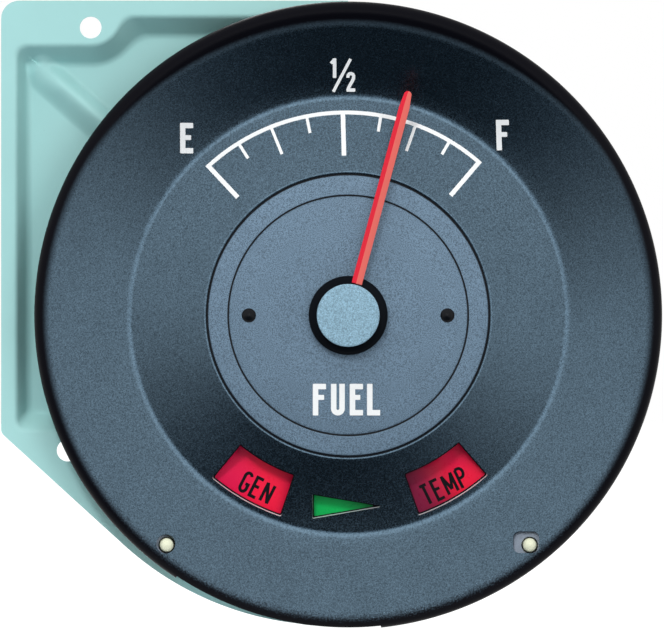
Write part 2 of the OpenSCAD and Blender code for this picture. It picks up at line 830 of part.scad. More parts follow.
// Twist-lock holder: its lugs pass notches in the can's floor and turn behind them
module lamp_holder(i) color([0.16, 0.16, 0.17]) upright() lamp_place(lamp_angles[i]) {
    flange_z = can_back - holder_gap;
    lug_z = can_floor + holder_gap;
    difference() {
        union() {
            rod(barrel_r, flange_z - 0.1, barrel_top);
            lugs(barrel_r - 1, lug_r, lug_span, lug_z, lug_z + lug_t);
            rod(holder_flange_r, flange_z - holder_flange_t, flange_z);
            rod(knob_r, flange_z - holder_flange_t - knob_l, flange_z - holder_flange_t);
            translate([-wing_w / 2, -wing_l / 2, flange_z - holder_flange_t - knob_l + 0.5])
                cube([wing_w, wing_l, knob_l - 0.5]);
        }
        rod(bulb_base_r + fix_gap, can_floor + 0.2, barrel_top + 1);
    }
}

module lamp_bulb(i) color([0.92, 0.94, 0.95]) upright() lamp_place(lamp_angles[i]) {
    base_low = can_floor + 0.2;
    neck_z = barrel_top + 0.2;
    rotate_extrude() polygon(concat([[0, base_low], [bulb_base_r, base_low], [bulb_base_r, neck_z],
        [bulb_r, neck_z + 0.8]], arc([0, bulb_top - bulb_r], bulb_r, 0, 90)));
}

module left_lamp_holder() lamp_holder(0);
module arrow_lamp_holder() lamp_holder(1);
module right_lamp_holder() lamp_holder(2);
module left_lamp_bulb() lamp_bulb(0);
module arrow_lamp_bulb() lamp_bulb(1);
module right_lamp_bulb() lamp_bulb(2);

housing();
backing_ring();
locating_posts();
dial_face();
centre_dial();
centre_dial_screws();
pointer();
pointer_hub();
hub_cap();
pointer_shaft();
armature();
balance_arm();
balance_weight();
movement_frame();
frame_pillars();
front_bridge();
pointer_stops();
front_bearing();
rear_bearing();
empty_coil_bobbin();
empty_coil_winding();
empty_coil_core();
full_coil_bobbin();
full_coil_winding();
full_coil_core();
terminal_board();
terminal_studs();
stud_bushes();
terminal_washers();
terminal_nuts();
lamp_chute();
chute_screws();
left_lens();
arrow_lens();
right_lens();
left_lamp_holder();
arrow_lamp_holder();
right_lamp_holder();
left_lamp_bulb();
arrow_lamp_bulb();
right_lamp_bulb();
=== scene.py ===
import math

import bmesh
import bpy
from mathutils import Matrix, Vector, geometry


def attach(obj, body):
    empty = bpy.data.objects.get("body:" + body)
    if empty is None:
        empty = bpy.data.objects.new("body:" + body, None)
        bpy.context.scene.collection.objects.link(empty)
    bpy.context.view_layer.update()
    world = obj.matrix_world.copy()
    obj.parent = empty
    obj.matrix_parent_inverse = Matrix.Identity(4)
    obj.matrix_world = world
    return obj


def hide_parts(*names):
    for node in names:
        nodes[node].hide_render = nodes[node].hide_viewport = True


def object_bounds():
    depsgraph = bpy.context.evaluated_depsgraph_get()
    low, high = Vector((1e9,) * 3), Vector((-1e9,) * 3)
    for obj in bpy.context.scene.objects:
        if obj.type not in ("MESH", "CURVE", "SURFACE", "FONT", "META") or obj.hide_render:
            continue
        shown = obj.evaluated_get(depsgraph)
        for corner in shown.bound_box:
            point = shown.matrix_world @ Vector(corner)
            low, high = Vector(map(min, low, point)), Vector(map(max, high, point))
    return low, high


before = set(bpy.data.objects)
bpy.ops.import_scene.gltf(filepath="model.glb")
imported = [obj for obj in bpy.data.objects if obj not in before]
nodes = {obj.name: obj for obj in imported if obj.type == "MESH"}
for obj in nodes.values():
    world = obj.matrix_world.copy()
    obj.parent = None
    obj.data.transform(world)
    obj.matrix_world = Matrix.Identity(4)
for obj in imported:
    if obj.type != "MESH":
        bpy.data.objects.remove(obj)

cad_box = [list(corner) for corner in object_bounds()]
MM = 0.001
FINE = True

# Sizes in millimetres, face on: x to the right, y up, z towards the viewer
RIM_R = 64.0
RIM_ROUND = 2.1
RIM_C = (61.9, 6.9)
DIAL_T = 0.8
VALLEY_R = 45.3
VALLEY_ROUND = 3.0
TURN = 12.0
TURN_ROUND = 5.0
BOWL_ROUND = 24.0
LIP_R = 0.9
LIP_EDGE = 0.15
LIP_LEAN = 10.0
BOWL = 20.6
CONE = 14.0
OPEN_R = 29.1
SKIRT_Z = 0.2
RELIEF = 0.4
RELIEF_R = (61.5, 65.0)
RELIEF_ENDS = (236.7, 276.0)
PIN_HOLE_R = 1.94
CENTRE_R = 28.5
CENTRE_TOP = 6.9
CENTRE_LOW = 5.9
RECESS_R = 24.4
RECESS_Z = 6.65
GROOVE_Z = 6.15
DOME = 0.4
WINDOW_R = (34.2, 43.3)
LEFT_WINDOW = (230.0, 251.5)
RIGHT_WINDOW = (289.4, 311.2)
ARROW = ((-7.3, -41.5), (7.4, -38.95), (-7.3, -36.4))
LENS_TOP = 1.8
LENS_LOW = 0.3
POINTER_REST = 15.1
HUB_TOP = 9.4
SHEET_T = 1.2
TRAY_D = 7.0
TRAY_SEEN = 4.9
CAN_R = 54.0
CAN_FLOOR = -26.0
CAN_BACK = -27.2
LAMP_RING = 38.75
LAMPS = {"left": 240.75, "arrow": 270.0, "right": 300.3}
STUDS = ((-10.5, -9.0), (10.5, -9.0), (0.0, 12.0))
POSTS = ((-37.0, -46.8), (37.0, -46.8))
LENS_R = (31.7, 45.9)
LENS_SPANS = {"left": (224, 255), "arrow": (255, 285), "right": (285, 316)}
DIAL_SCREWS = ((-20.2, 0.0), (20.2, 0.0))
CHUTE_SCREWS = (220.6, 319.4)
STUD_R = 2.4
POST_R = 1.4
POINTER_W = 2.15
POINTER_ROOT = 6.65
POINTER_TIP = 47.3
HUB_LOW = 7.3
HUB_R = 8.05
CAP_R = 6.4
CAP_TOP = 11.0


def row(x, y, z):
    return Vector((x * MM, -z * MM, y * MM))


def polar(r, a):
    a = math.radians(a)
    return (r * math.cos(a), r * math.sin(a))


def about(c, r, a):
    """The point at r and a from c."""
    x, y = polar(r, a)
    return (c[0] + x, c[1] + y)


def bow(c, rx, ry, a0, a1, n):
    """Points along an ellipse."""
    steps = [math.radians(lerp(a0, a1, i / n)) for i in range(n + 1)]
    return [(c[0] + rx * math.cos(a), c[1] + ry * math.sin(a)) for a in steps]


def arc(c, r, a0, a1, n):
    return bow(c, r, r, a0, a1, n)


def circle(c, r, n):
    return arc(c, r, 0, 360, n)[:-1]


def lerp(a, b, t):
    return a + (b - a) * t


def smooth(t):
    t = min(max(t, 0.0), 1.0)
    return t * t * (3 - 2 * t)


def divide(points, step, closed=False):
    """The same line with no stretch longer than step."""
    out = []
    for a, b in zip(points, points[1:] + points[:1] if closed else points[1:]):
        n = max(1, math.ceil(math.dist(a, b) / step))
        out += [tuple(lerp(p, q, i / n) for p, q in zip(a, b)) for i in range(n)]
    return out if closed else out + [points[-1]]


# The front of the dial
COS_CONE, SIN_CONE = polar(1, CONE)
COS_BOWL, SIN_BOWL = polar(1, BOWL)
COS_TURN, SIN_TURN = polar(1, TURN)
TAN_CONE, TAN_BOWL = SIN_CONE / COS_CONE, SIN_BOWL / COS_BOWL
BOWL_TOP = about(RIM_C, RIM_ROUND, 90 + BOWL)
VALLEY_Z = BOWL_TOP[1] - (BOWL_TOP[0] - VALLEY_R) * TAN_BOWL
GAP_IN = VALLEY_ROUND * (1 / COS_CONE - 1)
OUT_RUN = TURN_ROUND * SIN_TURN + BOWL_ROUND * (SIN_BOWL - SIN_TURN)
OUT_RISE = TURN_ROUND * (1 - COS_TURN) + BOWL_ROUND * (COS_TURN - COS_BOWL)
GAP_OUT = OUT_RUN * TAN_BOWL - OUT_RISE
VALLEY_SHIFT = (GAP_OUT - GAP_IN) / (TAN_CONE + TAN_BOWL)
FLAT = (VALLEY_R - VALLEY_SHIFT, VALLEY_Z + VALLEY_SHIFT * TAN_CONE + GAP_IN)
IN_C = (FLAT[0], FLAT[1] + VALLEY_ROUND)
TURN_C = (FLAT[0], FLAT[1] + TURN_ROUND)
OUT_C = about(TURN_C, BOWL_ROUND - TURN_ROUND, 90 + TURN)


def dial_z(r):
    if r > BOWL_TOP[0]:
        return RIM_C[1] + math.sqrt(max(RIM_ROUND ** 2 - (r - RIM_C[0]) ** 2, 0))
    if r > OUT_C[0] + BOWL_ROUND * SIN_BOWL:
        return VALLEY_Z + (r - VALLEY_R) * TAN_BOWL
    for start, centre, bend in ((FLAT[0] + TURN_ROUND * SIN_TURN, OUT_C, BOWL_ROUND),
                                (FLAT[0], TURN_C, TURN_ROUND),
                                (FLAT[0] - VALLEY_ROUND * SIN_CONE, IN_C, VALLEY_ROUND)):
        if r > start:
            return centre[1] - math.sqrt(bend ** 2 - (r - centre[0]) ** 2)
    return VALLEY_Z + (VALLEY_R - r) * TAN_CONE


def dial_face_z(x, y):
    return dial_z(math.hypot(x, y))


def disc_z(x, y=0.0):
    return RECESS_Z + DOME * (1 - ((x * x + y * y) / RECESS_R ** 2) ** 2)


# Mesh building
def shifted(dx, dy, turn=0.0):
    c, s = polar(1, turn)
    return lambda x, y: (x * c - y * s + dx, x * s + y * c + dy)


class Shape:
    """Closed shells gathered into one mesh."""

    def __init__(self):
        self.verts, self.faces, self.mats = [], [], []

    def add(self, solid, dx=0.0, dy=0.0, turn=0.0):
        """Takes in a solid, turned about the axis and then moved."""
        verts, faces = solid
        base = len(self.verts)
        place = shifted(dx, dy, turn)
        self.verts += [(*place(x, y), z) for x, y, z in verts]
        self.faces += [[i + base for i in f] for f in faces]
        self.mats += [0] * len(faces)
        return self


def revolve(profile, n, closed=True):
    verts, rings, faces = [], [], []
    for r, z in profile:
        if r < 1e-6:
            rings.append([len(verts)])
            verts.append((0, 0, z))
            continue
        rings.append(range(len(verts), len(verts) + n))
        verts += [(*polar(r, 360 * i / n), z) for i in range(n)]
    for a, b in zip(rings, rings[1:] + ([rings[0]] if closed else [])):
        for i in range(n):
            quad = [a[i % len(a)], a[(i + 1) % len(a)], b[(i + 1) % len(b)], b[i % len(b)]]
            face = list(dict.fromkeys(quad))
            if len(face) > 2:
                faces.append(face)
    return verts, faces


def turned(profile, n, spots=((0, 0),)):
    """The profile revolved about each spot."""
    shape = Shape()
    for spot in spots:
        shape.add(revolve(profile, n, False), *spot)
    return shape


def ring_faces(rings, n, closed=False):
    """Quads between rings of n points each."""
    return [[k * n + i, k * n + (i + 1) % n, (k + 1) % rings * n + (i + 1) % n, (k + 1) % rings * n + i]
            for k in range(rings if closed else rings - 1) for i in range(n)]


def loft(loops):
    """A closed solid through loops of as many points each."""
    n = len(loops[0])
    verts = [v for loop in loops for v in loop]
    ends = [list(range(n))[::-1], list(range(len(verts) - n, len(verts)))]
    return verts, ring_faces(len(loops), n) + ends


def prism(outline, z0, z1, edge=0.0):
    """A prism whose two rims are rounded by edge."""
    cx, cy = (sum(p[k] for p in outline) / len(outline) for k in (0, 1))
    reach = max(math.hypot(p[0] - cx, p[1] - cy) for p in outline)
    turns = (0, 30, 60, 90) if edge else (0,)
    loops = []
    for z, way in ((z0, 1), (z1, -1)):
        for a in turns[::way]:
            k = 1 - edge * (1 - math.sin(math.radians(a))) / reach
            level = z + edge * (1 - math.cos(math.radians(a))) * way
            loops.append([(cx + (p[0] - cx) * k, cy + (p[1] - cy) * k, level) for p in outline])
    return loft(loops)


def inside(p, loop):
    x, y = p
    hit = False
    for (x0, y0), (x1, y1) in zip(loop, loop[1:] + loop[:1]):
        if (y0 > y) != (y1 > y) and x < x0 + (y - y0) * (x1 - x0) / (y1 - y0):
            hit = not hit
    return hit


def fill(loops, extra, keep):
    """Triangles between closed loops, with extra points inside, where keep says so."""
    points, edges = [], []
    for loop in loops:
        base = len(points)
        points += [Vector(p) for p in loop]
        edges += [(base + i, base + (i + 1) % len(loop)) for i in range(len(loop))]
    points += [Vector(p) for p in extra]
    out = geometry.delaunay_2d_cdt(points, edges, [], 0, 1e-6)
    flat = [tuple(v) for v in out[0]]
    middles = [[sum(flat[i][k] for i in f) / len(f) for k in (0, 1)] for f in out[2]]
    return flat, [list(f) for f, middle in zip(out[2], middles) if keep(middle)]


def slab(flat, faces, top, bottom):
    """A closed thin solid over a flat triangulation."""
    used = sorted({i for f in faces for i in f})
    index = {v: k for k, v in enumerate(used)}
    n = len(used)
    verts = [top(*flat[i]) for i in used] + [bottom(*flat[i]) for i in used]
    count = {}
    for f in faces:
        for a, b in zip(f, f[1:] + f[:1]):
            count[(a, b)] = count.get((a, b), 0) + 1
    out = [[index[i] for i in f] for f in faces] + [[index[i] + n for i in f[::-1]] for f in faces]
    out += [[index[b], index[a], index[a] + n, index[b] + n] for a, b in count if (b, a) not in count]
    return verts, out


def film(loops, extra, keep, height, up, down):
    """A thin sheet between loops, that reaches up above a surface and down below it."""
    sides = [lambda x, y, lift=lift: (x, y, height(x, y) + lift) for lift in (up, -down)]
    return Shape().add(slab(*fill(loops, extra, keep), *sides))


def build(shape, name, materials, slot, replaces=(), crease=30.0, body="case"):
    """The shape becomes a piece of the scene."""
    mesh = bpy.data.meshes.new(name)
    mesh.from_pydata([row(*v) for v in shape.verts], [], shape.faces)
    for m in materials:
        mesh.materials.append(m)
    mesh.polygons.foreach_set("material_index", shape.mats)
    bm = bmesh.new()
    bm.from_mesh(mesh)
    bmesh.ops.remove_doubles(bm, verts=bm.verts, dist=1e-7)
    bmesh.ops.recalc_face_normals(bm, faces=bm.faces)
    bm.to_mesh(mesh)
    bm.free()
    obj = bpy.data.objects.new(name, mesh)
    bpy.context.scene.collection.objects.link(obj)
    crease_edges(mesh, crease)
    if body:
        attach(obj, body)
    if replaces:
        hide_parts(*replaces)
    return obj


def crease_edges(mesh, angle):
    mesh.shade_smooth()
    mesh.set_sharp_from_angle(angle=math.radians(angle))


def settle(obj, angle):
    """Writes the modifiers into the mesh."""
    dg = bpy.context.evaluated_depsgraph_get()
    mesh = bpy.data.meshes.new_from_object(obj.evaluated_get(dg))
    obj.modifiers.clear()
    obj.data = mesh
    crease_edges(mesh, angle)


def cut(obj, shape, angle):
    cutter = build(shape, "cutter", [], None, body=None)
    mod = obj.modifiers.new("cut", "BOOLEAN")
    mod.operation = "DIFFERENCE"
    mod.solver = "EXACT"
    mod.object = cutter
    settle(obj, angle)
    bpy.data.objects.remove(cutter)


def bevel(obj, width, limit):
    """Rounds the edges that bend by more than the limit."""
    mod = obj.modifiers.new("soft edge", "BEVEL")
    mod.limit_method = "ANGLE"
    mod.angle_limit = math.radians(limit)
    mod.width = width * MM
    mod.segments = 2


# Shader nodes
def new(tree, kind, inputs=(), **settings):
    """A node with its settings made and its inputs, in order or by name, linked or filled."""
    node = tree.nodes.new("ShaderNode" + kind)
    for key, value in settings.items():
        setattr(node, key, value)
    for key, value in inputs.items() if isinstance(inputs, dict) else enumerate(inputs):
        socket = node.inputs[key]
        if isinstance(value, bpy.types.NodeSocket):
            tree.links.new(value, socket)
        elif socket.type == "RGBA":
            socket.default_value = (*value, 1) if isinstance(value, tuple) else (value, value, value, 1)
        else:
            socket.default_value = value
    return node


def coords(tree, stretch=None):
    where = new(tree, "TexCoord").outputs["Object"]
    if not stretch:
        return where
    return new(tree, "Mapping", {"Vector": where, "Scale": stretch}).outputs["Vector"]


def axes(tree, vector):
    return new(tree, "SeparateXYZ", [vector]).outputs


def noise(tree, per_mm, detail=2.0, rough=0.5, stretch=None):
    inputs = {"Vector": coords(tree, stretch), "Scale": per_mm / MM, "Detail": detail, "Roughness": rough}
    return new(tree, "TexNoise", inputs).outputs["Fac"]


def ramp(tree, value, *stops):
    node = new(tree, "ValToRGB", [value])
    while len(node.color_ramp.elements) < len(stops):
        node.color_ramp.elements.new(0.5)
    for element, (at, colour) in zip(node.color_ramp.elements, stops):
        element.position = at
        element.color = (*colour, 1) if isinstance(colour, tuple) else (colour, colour, colour, 1)
    return node.outputs["Color"]


def blend(tree, fac, a, b, mode="MIX"):
    colour_a, colour_b, colour_out = 6, 7, 2
    inputs = {"Factor": fac, colour_a: a, colour_b: b}
    return new(tree, "Mix", inputs, data_type="RGBA", blend_type=mode).outputs[colour_out]


def spread(tree, value, low, high):
    """The value 0 to 1 between two levels."""
    inputs = {"Value": value, "From Min": low, "From Max": high}
    return new(tree, "MapRange", inputs, interpolation_type="SMOOTHSTEP").outputs["Result"]


def maths(tree, operation, *values):
    return new(tree, "Math", values, operation=operation).outputs["Value"]


def from_axis(tree):
    """Distance from the pointer's axis, in metres."""
    x, _, z = axes(tree, coords(tree))
    return maths(tree, "SQRT", maths(tree, "MULTIPLY_ADD", x, x, maths(tree, "MULTIPLY", z, z)))


# Materials
def paint(name, base, rough, metal=0.0, specular=0.5, transmission=0.0, ior=1.5):
    m = bpy.data.materials.new(name)
    m.use_nodes = True
    shader = m.node_tree.nodes["Principled BSDF"]
    sockets = {"Base Color": (*base, 1), "Roughness": rough, "Metallic": metal, "IOR": ior,
               "Specular IOR Level": specular, "Transmission Weight": transmission}
    for socket, value in sockets.items():
        shader.inputs[socket].default_value = value
    return m, m.node_tree


def surface(m, colour, marks, rough, height, depth, strength=1.0):
    """Gives a material its colour, its roughness along the marks and its relief, in millimetres."""
    tree = m.node_tree
    inputs = {"Strength": strength, "Distance": depth * MM, "Height": height}
    sockets = {"Base Color": colour, "Roughness": ramp(tree, marks, (0.3, rough[0]), (0.7, rough[1])),
               "Normal": new(tree, "Bump", inputs).outputs["Normal"]}
    for socket, value in sockets.items():
        tree.links.new(value, tree.nodes["Principled BSDF"].inputs[socket])
    return m


def scaled(colour, k):
    return tuple(c * k for c in colour)


def tones(tree, value, base, low, high):
    """The base colour from its darker to its lighter shade."""
    return ramp(tree, value, (0.3, scaled(base, low)), (0.7, scaled(base, high)))


def grained_paint(name, base, rough, grain=0.25, size=0.34, depth=0.012, specular=0.5, blotch=0.08,
                  metal=0.0):
    """Paint with a fine grain in its colour, gloss and surface; metallic where metal is 1."""
    m, tree = paint(name, base, rough, metal=metal, specular=specular)
    fine = noise(tree, 1 / size, 3.0, 0.7)
    colour = ramp(tree, fine, (0.32, scaled(base, 1 - grain)), (0.5, base), (0.68, scaled(base, 1 + grain)))
    shade = ramp(tree, noise(tree, 0.12), (0.3, 1 - blotch), (0.7, 1.0))
    colour = blend(tree, 1.0, colour, shade, "MULTIPLY")
    return surface(m, colour, fine, (rough - 0.08, rough + 0.08), fine, depth)


def enamel(name, base, rough, wear=0.05, specular=0.5, orange=0.004):
    """Sprayed enamel: slight orange peel, faint clouds and specks of dust."""
    m, tree = paint(name, base, rough, specular=specular)
    cloud = noise(tree, 0.05, 3.0, 0.55)
    colour = tones(tree, cloud, base, 1 - wear, 1 + wear * 0.6)
    dust = ramp(tree, noise(tree, 1.6, 2.0, 0.6), (0.18, 0.86), (0.3, 1.0))
    colour = blend(tree, 1.0, colour, dust, "MULTIPLY")
    return surface(m, colour, cloud, (rough - 0.06, rough + 0.06), noise(tree, 0.9), orange)


def worked_metal(name, base, rough, stretch=None, tone=0.15, depth=0.004):
    """Bare metal with fine marks along one way."""
    m, tree = paint(name, base, rough, metal=1.0)
    marks = noise(tree, 0.5, 4.0, 0.65, stretch)
    colour = tones(tree, noise(tree, 0.15, 3.0, 0.6), base, 1 - tone, 1 + tone * 0.5)
    return surface(m, colour, marks, (rough - 0.1, rough + 0.12), marks, depth)


def moulded(name, base, rough, grain=0.06, depth=0.004, specular=0.5):
    """Moulded plastic or resin with a fine texture."""
    m, tree = paint(name, base, rough, specular=specular)
    fine = noise(tree, 2.0, 3.0, 0.6)
    colour = tones(tree, noise(tree, 0.08), base, 1 - grain, 1 + grain)
    return surface(m, colour, fine, (rough - 0.06, rough + 0.06), fine, depth)


def layered_board(name, base):
    """Pressed board: fine fibres lying in the sheet."""
    m, tree = paint(name, base, 0.55)
    fibres = noise(tree, 2.2, 4.0, 0.7, (1, 0.2, 1))
    colour = ramp(tree, fibres, (0.3, scaled(base, 0.7)), (0.55, base), (0.75, scaled(base, 1.5)))
    return surface(m, colour, fibres, (0.48, 0.64), fibres, 0.01)


def centre_material():
    """Grey grained paint with painted shade: a little darker towards the bottom, and near black in the groove
    and in the gap round the edge.
    """
    m = grained_paint("centre_paint", (0.141, 0.213, 0.288), 0.3, grain=0.56, size=0.21, specular=0.15,
                      metal=0.12)
    tree = m.node_tree
    socket = tree.nodes["Principled BSDF"].inputs["Base Color"]
    height = axes(tree, coords(tree))["Z"]
    # Painted shade: the plate's paint darkens a little towards the bottom.
    painted_shade_below = ramp(tree, spread(tree, height, -30 * MM, 30 * MM), (0.0, 0.88), (1.0, 1.0))
    colour = blend(tree, 1.0, socket.links[0].from_socket, painted_shade_below, "MULTIPLY")
    radius = from_axis(tree)
    # Painted shade: near-black paint in the groove and in the gap round the plate's edge.
    inner = spread(tree, radius, 24.26 * MM, 24.36 * MM)
    groove = maths(tree, "MULTIPLY", inner, spread(tree, radius, 24.68 * MM, 24.6 * MM))
    painted_shade_mask = maths(tree, "MAXIMUM", groove, spread(tree, radius, 28.5 * MM, 28.6 * MM))
    tree.links.new(blend(tree, painted_shade_mask, colour, (0.01, 0.012, 0.016)), socket)
    return m


def dial_material():
    """Charcoal grained paint with a black rim, ragged towards the bottom; at the top the black reaches
    further in, as painted shade.
    """
    m = grained_paint("dial_paint", CHARCOAL, 0.25, grain=0.55, size=0.28, depth=0.006, specular=0.06,
                      metal=1.0)
    tree = m.node_tree
    sockets = tree.nodes["Principled BSDF"].inputs
    height = axes(tree, coords(tree))["Z"]
    reach = ramp(tree, spread(tree, height, -20 * MM, -60 * MM), (0.0, 0.6 * MM), (1.0, 3.2 * MM))
    ragged = maths(tree, "MULTIPLY", maths(tree, "SUBTRACT", noise(tree, 3.0, 2.0, 0.7), 0.5), reach)
    # Painted shade: towards the top the black of the rim reaches up to 1.9 mm further in.
    painted_shade_reach = ramp(tree, spread(tree, height, 28 * MM, 60 * MM), (0.0, 0.0), (1.0, 1.9 * MM))
    radius = maths(tree, "ADD", maths(tree, "ADD", from_axis(tree), painted_shade_reach), ragged)
    rim = spread(tree, radius, 60.5 * MM, 62.5 * MM)
    for name, black in (("Base Color", (0.0022, 0.0022, 0.004)), ("Roughness", 0.4)):
        tree.links.new(blend(tree, rim, sockets[name].links[0].from_socket, black), sockets[name])
    tree.links.new(maths(tree, "SUBTRACT", 1.0, rim), sockets["Metallic"])
    return m


def lens_material(name, deep, bright, painted_shade_colour=None):
    """Tinted lens with clouds in its colour; given a shade colour, it darkens towards the arrow as painted
    shade.
    """
    m, tree = paint(name, bright, 0.3, specular=0.12)
    cloud = noise(tree, 0.09, 1.0, 0.4)
    colour = ramp(tree, cloud, (0.34, deep), (0.62, bright))
    if painted_shade_colour:
        # Painted shade: towards the arrow the colour goes over to the shade colour.
        x, _, z = axes(tree, coords(tree))
        lean = maths(tree, "MULTIPLY_ADD", z, 0.55, x)
        colour = blend(tree, spread(tree, lean, -6.5 * MM, 7.0 * MM), painted_shade_colour, colour)
    return surface(m, colour, noise(tree, 1.2), (0.25, 0.35), cloud, 0.2, 0.4)


MINT = (0.375, 0.67, 0.655)
CHARCOAL = (0.084, 0.130, 0.172)
mint = enamel("mint_enamel", MINT, 0.38, orange=0.006)
ring_grey = grained_paint("ring_paint", (0.22, 0.26, 0.32), 0.5, grain=0.12)
centre_grey = centre_material()
cap_grey = grained_paint("cap_paint", (0.265, 0.425, 0.53), 0.5, grain=0.45, size=0.28, specular=0.15)
black_satin = moulded("black_satin", (0.003, 0.004, 0.006), 0.42, grain=0.2, specular=0.04)
screw_black = moulded("screw_black", (0.004, 0.005, 0.007), 0.25, grain=0.2, specular=0.14)
white_ink = grained_paint("white_ink", (0.90, 0.91, 0.91), 0.5, grain=0.03, size=0.3, depth=0.004,
                          blotch=0.02)
# Black ink for the lens words, also used as painted shade round the lens windows.
black_ink_and_shade = moulded("black_ink_and_shade", (0.004, 0.003, 0.005), 0.5, specular=0.1)
pin_nylon = moulded("pin_nylon", (0.73, 0.75, 0.57), 0.35, grain=0.05)
holder_black = moulded("holder_black", (0.02, 0.02, 0.022), 0.45, grain=0.2, depth=0.01)
bobbin_resin = moulded("bobbin_resin", (0.05, 0.04, 0.035), 0.5, grain=0.2)
chute_white = moulded("chute_white", (0.80, 0.79, 0.72), 0.45)
fibre = layered_board("vulcanised_fibre", (0.16, 0.07, 0.03))
phenolic = layered_board("phenolic_board", (0.20, 0.09, 0.035))
zinc = worked_metal("zinc_plate", (0.62, 0.60, 0.50), 0.34, tone=0.2)
steel = worked_metal("ground_steel", (0.62, 0.63, 0.65), 0.25, stretch=(1, 6, 1))
iron = worked_metal("soft_iron", (0.42, 0.42, 0.44), 0.42, tone=0.25)
brass = worked_metal("turned_brass", (0.72, 0.54, 0.24), 0.28, stretch=(1, 8, 1), tone=0.2)
stud_brass = worked_metal("rolled_brass", (0.70, 0.56, 0.28), 0.3, tone=0.25)
dial_paint = dial_material()
# Light grey for the windows' cut walls, a painted highlight where those edges catch the light.
cut_edge_highlight = enamel("cut_edge_highlight", (0.62, 0.66, 0.68), 0.3, wear=0.2)
lens_red = lens_material("lens_red", (0.74, 0.008, 0.075), (0.90, 0.012, 0.055))
# The right lens: the same red, with painted shade that darkens it towards the arrow.
lens_red_painted_shade = lens_material("lens_red_painted_shade", (0.72, 0.008, 0.06), (0.92, 0.012, 0.045), (0.22, 0.014, 0.05))
lens_green = lens_material("lens_green", (0.001, 0.37, 0.075), (0.002, 0.53, 0.11))
# The pointer's one red paint in two copies: the salmon one is painted light, for the right facet, and the
# crimson one painted shade, for the left facet.
red_painted_lit = enamel("pointer_red_painted_lit", (0.88, 0.165, 0.135), 0.35, wear=0.04, orange=0.002, specular=0.25)
red_painted_shade = enamel("pointer_red_painted_shade", (0.76, 0.018, 0.042), 0.35, wear=0.04, orange=0.002, specular=0.2)
bulb_glass = paint("bulb_glass", (0.95, 0.97, 0.98), 0.03, transmission=1.0, ior=1.45)[0]
copper = worked_metal("copper_wire", (0.60, 0.24, 0.10), 0.3, tone=0.2, depth=0.01)


# Housing: the pressed flange and tray
FLANGE_LEFT = -70.9
FLANGE_TOP = 64.3
UPPER_HOLE = (-52.6, 58.8)
LOWER_HOLE = (-57.3, -27.6)
HOLE_R = 2.225
BELLY_C = (-3.4, -0.2)
BELLY_R = 63.1
TRAY_LEFT = -67.7
TRAY_RIGHT = -8.0
TRAY_TOP = 61.0
TRAY_LOW = -23.5
BEAD_FROM = (-62.6, 50.6)
BEAD_TO = (-45.5, 35.6)
PAD_Y = 61.3
PAD_R = 6.2
PAD_BLEND = 3.0
CORNER_BLEND = 2.6
DRAFTS = (2.1, 3.7)
WALL_BENDS = (1.1, 1.8)
BEAD_HEIGHTS = (1.5, 2.4)
BEAD_WIDTHS = (3.1, 4.6)
FOOT_HOLE_R = 1.45
TRAY_GRID_R = 61.5


def from_segment(p, a, b):
    """Distance of p from the line between a and b."""
    px, py, bx, by = p[0] - a[0], p[1] - a[1], b[0] - a[0], b[1] - a[1]
    t = min(max((px * bx + py * by) / (bx * bx + by * by), 0.0), 1.0)
    return math.hypot(px - bx * t, py - by * t)


def soft_min(a, b, k):
    h = max(k - abs(a - b), 0.0) / k
    return min(a, b) - h * h * k / 4


def wall_profile(s, deep, draft, top_r, low_r):
    """Height of a drafted wall at s inside its upper edge, with both bends rounded."""
    lean = math.atan2(deep, draft)
    reach = math.tan(lean / 2)
    top_a, top_b = -top_r * reach, top_r * reach * math.cos(lean)
    low_a, low_b = draft - low_r * reach * math.cos(lean), draft + low_r * reach

    def upper(x):
        return -top_r + math.sqrt(max(top_r ** 2 - (x - top_a) ** 2, 0.0)) if x > top_a else 0.0

    def lower(x):
        return low_r - math.sqrt(max(low_r ** 2 - (low_b - x) ** 2, 0.0)) - deep if x < low_b else -deep

    if s < top_b:
        return upper(s)
    if s > low_a:
        return lower(s)
    return lerp(upper(top_b), lower(low_a), (s - top_b) / max(low_a - top_b, 1e-6))


def flange_z(x, y, deep=TRAY_D):
    """Height of the flange's front, with the tray and its bead."""
    side = min(x - TRAY_LEFT, TRAY_RIGHT - x)
    end = min(TRAY_TOP - y, y - TRAY_LOW)
    pad = from_segment((x, y), (UPPER_HOLE[0] - 25, PAD_Y), (UPPER_HOLE[0], PAD_Y)) - PAD_R
    ends = soft_min(end, pad, PAD_BLEND)
    s = soft_min(side, ends, CORNER_BLEND)
    draft = lerp(*DRAFTS, smooth(0.5 + (side - ends) / 5.0))
    z = wall_profile(s, deep, draft, *WALL_BENDS)
    off = from_segment((x, y), BEAD_FROM, BEAD_TO)
    dx, dy = x - BEAD_FROM[0], y - BEAD_FROM[1]
    above = dx * (BEAD_FROM[1] - BEAD_TO[1]) + dy * (BEAD_TO[0] - BEAD_FROM[0]) > 0
    high = lerp(*BEAD_HEIGHTS, smooth(math.hypot(dx, dy) / 6.0))
    bead = high * (1 - smooth(off / BEAD_WIDTHS[0 if above else 1])) ** 0.9
    return min(z + bead * smooth(s / 4.0), 0.0)


def flange_normal(x, y):
    e = 0.02
    dx = (flange_z(x + e, y) - flange_z(x - e, y)) / (2 * e)
    dy = (flange_z(x, y + e) - flange_z(x, y - e)) / (2 * e)
    k = math.sqrt(dx * dx + dy * dy + 1)
    return (-dx / k, -dy / k, 1 / k)


def bearing(x, y):
    return math.degrees(math.atan2(y, x))


